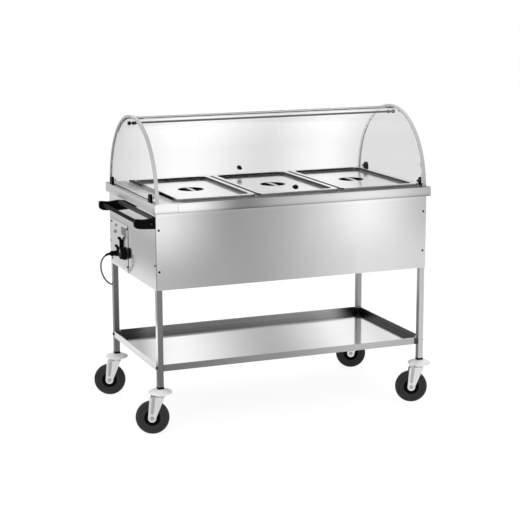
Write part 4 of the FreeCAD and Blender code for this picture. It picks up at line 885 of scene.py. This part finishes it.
def makeGland():
    # six-sided nut, turned cap, and a sleeve that narrows along the cord and dips in each groove
    nut = slab(gland["nut"] * circle(6), onPlate(gland), toRear, upward, toLeft * gland["nutWall"])
    cap = np.concatenate([[(pole, gland["seat"])], smoothLine(gland["cap"], 40), [gland["mouth"]]])
    run = np.concatenate([[0], np.cumsum(np.linalg.norm(np.diff(cordLine, axis=0), axis=1))]) * 1000
    path = smoothLine(cordLine[(run > gland["sleeveFrom"]) & (run < gland["sleeveTo"])], 60)
    share = np.linspace(0, 1, 60)
    width = gland["wide"] - (gland["wide"] - gland["thin"]) * share
    width -= gland["groove"] * np.clip(np.sin(share * gland["grooves"] * 2 * math.pi), 0, 1)
    rings = sweep(path, circle(32), toRear)
    rings = path[:, None] + (rings - path[:, None]) * width[:, None, None]
    makePiece("cableGland", [nut, grid(lathe(cap, onPlate(gland), toLeft, 40)), grid(rings, caps=True)],
              "frame", "black_plastic", ["cable_gland"], bevel=0.6, crease=50)


def makeLabel():  # bare plate: a rounded rectangle pushed through its thickness
    plate = slab(roundedLoop(*label["section"], 4), onPlate(label), toRear, upward, toLeft * label["wall"])
    makePiece("bareLabel", [plate], "frame", "plate_steel", material=labelFoil)


makeKnob()
makeLampAndButton()
makeHooks()
makeGland()
makeLabel()
print("controls made")


# screw heads, as (radius, height) of each kind
screw = dict(
    casing=(4.5, 2.5), clip=(5.0, 1.9), sunk=1.0, tip=0.005,
    frontZ=(758, 606), endZ=628, plateY=(57, 258), plateZ=(561, 708), bracketX=-558, bracketZ=783,
    clipX=529, clipZ=870, clipIn=13,
    cross=[(-2.2, -0.45), (2.2, -0.45), (2.2, 0.45), (-2.2, 0.45)], crossDeep=0.55, crossWall=0.6)


def screwPlaces():  # place, way out, and the kind of head
    both = [(sx, sy) for sx in (-1, 1) for sy in (-1, 1)]
    legX, legY = castor["legX"], castor["legY"]
    heads = [(sx * legX, sy * casing["halfY"], z, toRear * sy, "casing")
             for sx, sy in both for z in screw["frontZ"]]
    heads += [(sx * casing["halfX"], sy * legY, screw["endZ"], toRight * sx, "casing") for sx, sy in both]
    heads += [(plateX, y, z, toLeft, "casing") for y in screw["plateY"] for z in screw["plateZ"]]
    heads += [(screw["bracketX"], y, screw["bracketZ"], out, "casing")
              for y, out in ((handle["front"], -toRear), (handle["rear"], toRear))]
    clipLow, clipHigh = (np.array(corner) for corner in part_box("dome_clips"))
    clipY = (clipHigh - clipLow)[1] * 500 - screw["clipIn"]
    return heads + [(sx * screw["clipX"], sy * clipY, screw["clipZ"], toLeft * sx, "clip") for sx, sy in both]


def makeScrews():  # low domes, radius cos and height sin of one angle, with dark crossed bars that stand for the painted shade of a recess
    angle = np.linspace(0, math.pi / 2, 9)
    sheets = []
    for x, y, z, outward, kind in screwPlaces():
        radius, height = screw[kind]
        place = at(x, y, z)
        dome = np.column_stack([radius * np.cos(angle) + screw["tip"], height * np.sin(angle)])
        profile = np.concatenate([[(screw["tip"], -screw["sunk"]), (radius, -screw["sunk"])], dome])
        sheets.append(grid(lathe(profile, place, outward, 32)))
        side = np.cross(outward, upward)
        # the recess is not cut: dark bars laid in a cross are its painted shade
        for first, second in ((side, upward), (upward, side)):
            bar = slab(screw["cross"], place + outward * (height - screw["crossDeep"]) / 1000, first, second,
                       outward * screw["crossWall"])
            sheets.append((*bar, 1))
    makePiece("screwHeads", sheets, "frame", "fixing_steel", ["casing_screws"],
              others=[finishes["dark_bolt"]])


makeScrews()

# worktop; the edge's rows are (inset, height, corner)
top = dict(
    halfX=553.0, halfY=309.5, wall=1.5, height=855.0,
    wellMiddle=27.0, wellX=487.5, wellY=255.0, wellCorner=20.0,
    edge=[(0, 820, 5), (0, 851.5, 5), (0.35, 853.4, 4.8), (1.4, 854.6, 4.4), (3.2, 855, 4)])


def makeWorktop():  # rings from the skirt's foot over the edge to the well
    rows = [levelRing((0, 0, z), roundedLoop(top["halfX"] - inset, top["halfY"] - inset, corner, 6))
            for inset, z, corner in top["edge"]]
    well = roundedLoop(top["wellX"], top["wellY"], top["wellCorner"], 6)
    rows.append(levelRing((top["wellMiddle"], 0, top["height"]), well))
    makePiece("worktopSheet", [grid(np.array(rows))], "frame", "casing_steel", ["worktop"], topSteel,
              solidify=top["wall"])


makeWorktop()
print("screws and worktop made")


# studio, in metres; lamps are (name, place, size, power)
studio = dict(
    worldLight=0.8, floorShare=0.85, floorGlow=1.06, floorTone=245, floorRough=0.9, floorShine=0.1,
    floorReach=30.0, lampAim=(0, 0, 0.6),
    lamps=(("keyLamp", (-2.6, -3.2, 3.6), 2.4, 90.0), ("topLamp", (0.6, 0.4, 4.2), 3.0, 60.0)))


def backgroundRays(tree, join):  # 1 for rays that show the background, directly or in metal and glass
    path = tree.new("ShaderNodeLightPath").outputs
    seen = mathNode(tree, join, "MAXIMUM", path["Is Camera Ray"], path["Is Glossy Ray"])
    return mathNode(tree, join, "MAXIMUM", seen, path["Is Transmission Ray"])


def makeWorld():  # white where it is seen, softer where it lights
    world = bpy.data.worlds.new("studio")
    bpy.context.scene.world = world
    world.use_nodes = True
    tree, join = world.node_tree.nodes, world.node_tree.links.new
    soft = tree["Background"]
    soft.inputs["Strength"].default_value = studio["worldLight"]
    soft.inputs["Color"].default_value = (1, 1, 1, 1)
    white = tree.new("ShaderNodeBackground")
    white.inputs["Color"].default_value = (1, 1, 1, 1)
    mix = tree.new("ShaderNodeMixShader")
    join(backgroundRays(tree, join), mix.inputs[0])
    join(soft.outputs[0], mix.inputs[1])
    join(white.outputs[0], mix.inputs[2])
    join(mix.outputs[0], tree["World Output"].inputs["Surface"])


def makeFloor():  # pale, and mostly its own light where it is seen
    material, tree, join, shader = newMaterial("paleFloor")
    shader.inputs["Base Color"].default_value = grey(studio["floorTone"])
    shader.inputs["Roughness"].default_value = studio["floorRough"]
    shader.inputs["Specular IOR Level"].default_value = studio["floorShine"]
    glow = tree.new("ShaderNodeEmission")
    glow.inputs["Strength"].default_value = studio["floorGlow"]
    share = tree.new("ShaderNodeMath")
    share.operation = "MULTIPLY"
    share.inputs[1].default_value = studio["floorShare"]
    join(backgroundRays(tree, join), share.inputs[0])
    mix = tree.new("ShaderNodeMixShader")
    join(share.outputs[0], mix.inputs[0])
    join(shader.outputs[0], mix.inputs[1])
    join(glow.outputs[0], mix.inputs[2])
    join(mix.outputs[0], tree["Material Output"].inputs["Surface"])
    mesh = bpy.data.meshes.new("paleFloor")
    reach = studio["floorReach"]
    mesh.from_pydata([(-reach, -reach, 0), (reach, -reach, 0), (reach, reach, 0), (-reach, reach, 0)], [],
                     [(0, 1, 2, 3)])
    mesh.materials.append(material)
    floor = bpy.data.objects.new("paleFloor", mesh)
    bpy.context.scene.collection.objects.link(floor)


def makeLamps():  # square lights turned to the aim
    for name, place, size, power in studio["lamps"]:
        data = bpy.data.lights.new(name, "AREA")
        data.size = size
        data.energy = power
        light = bpy.data.objects.new(name, data)
        light.location = place
        light.visible_glossy = False
        aim = Vector(studio["lampAim"]) - Vector(place)
        light.rotation_euler = aim.to_track_quat("-Z", "Y").to_euler()
        bpy.context.scene.collection.objects.link(light)


makeWorld()
makeFloor()
makeLamps()
bpy.context.scene.view_settings.view_transform = "Standard"
print("studio made")
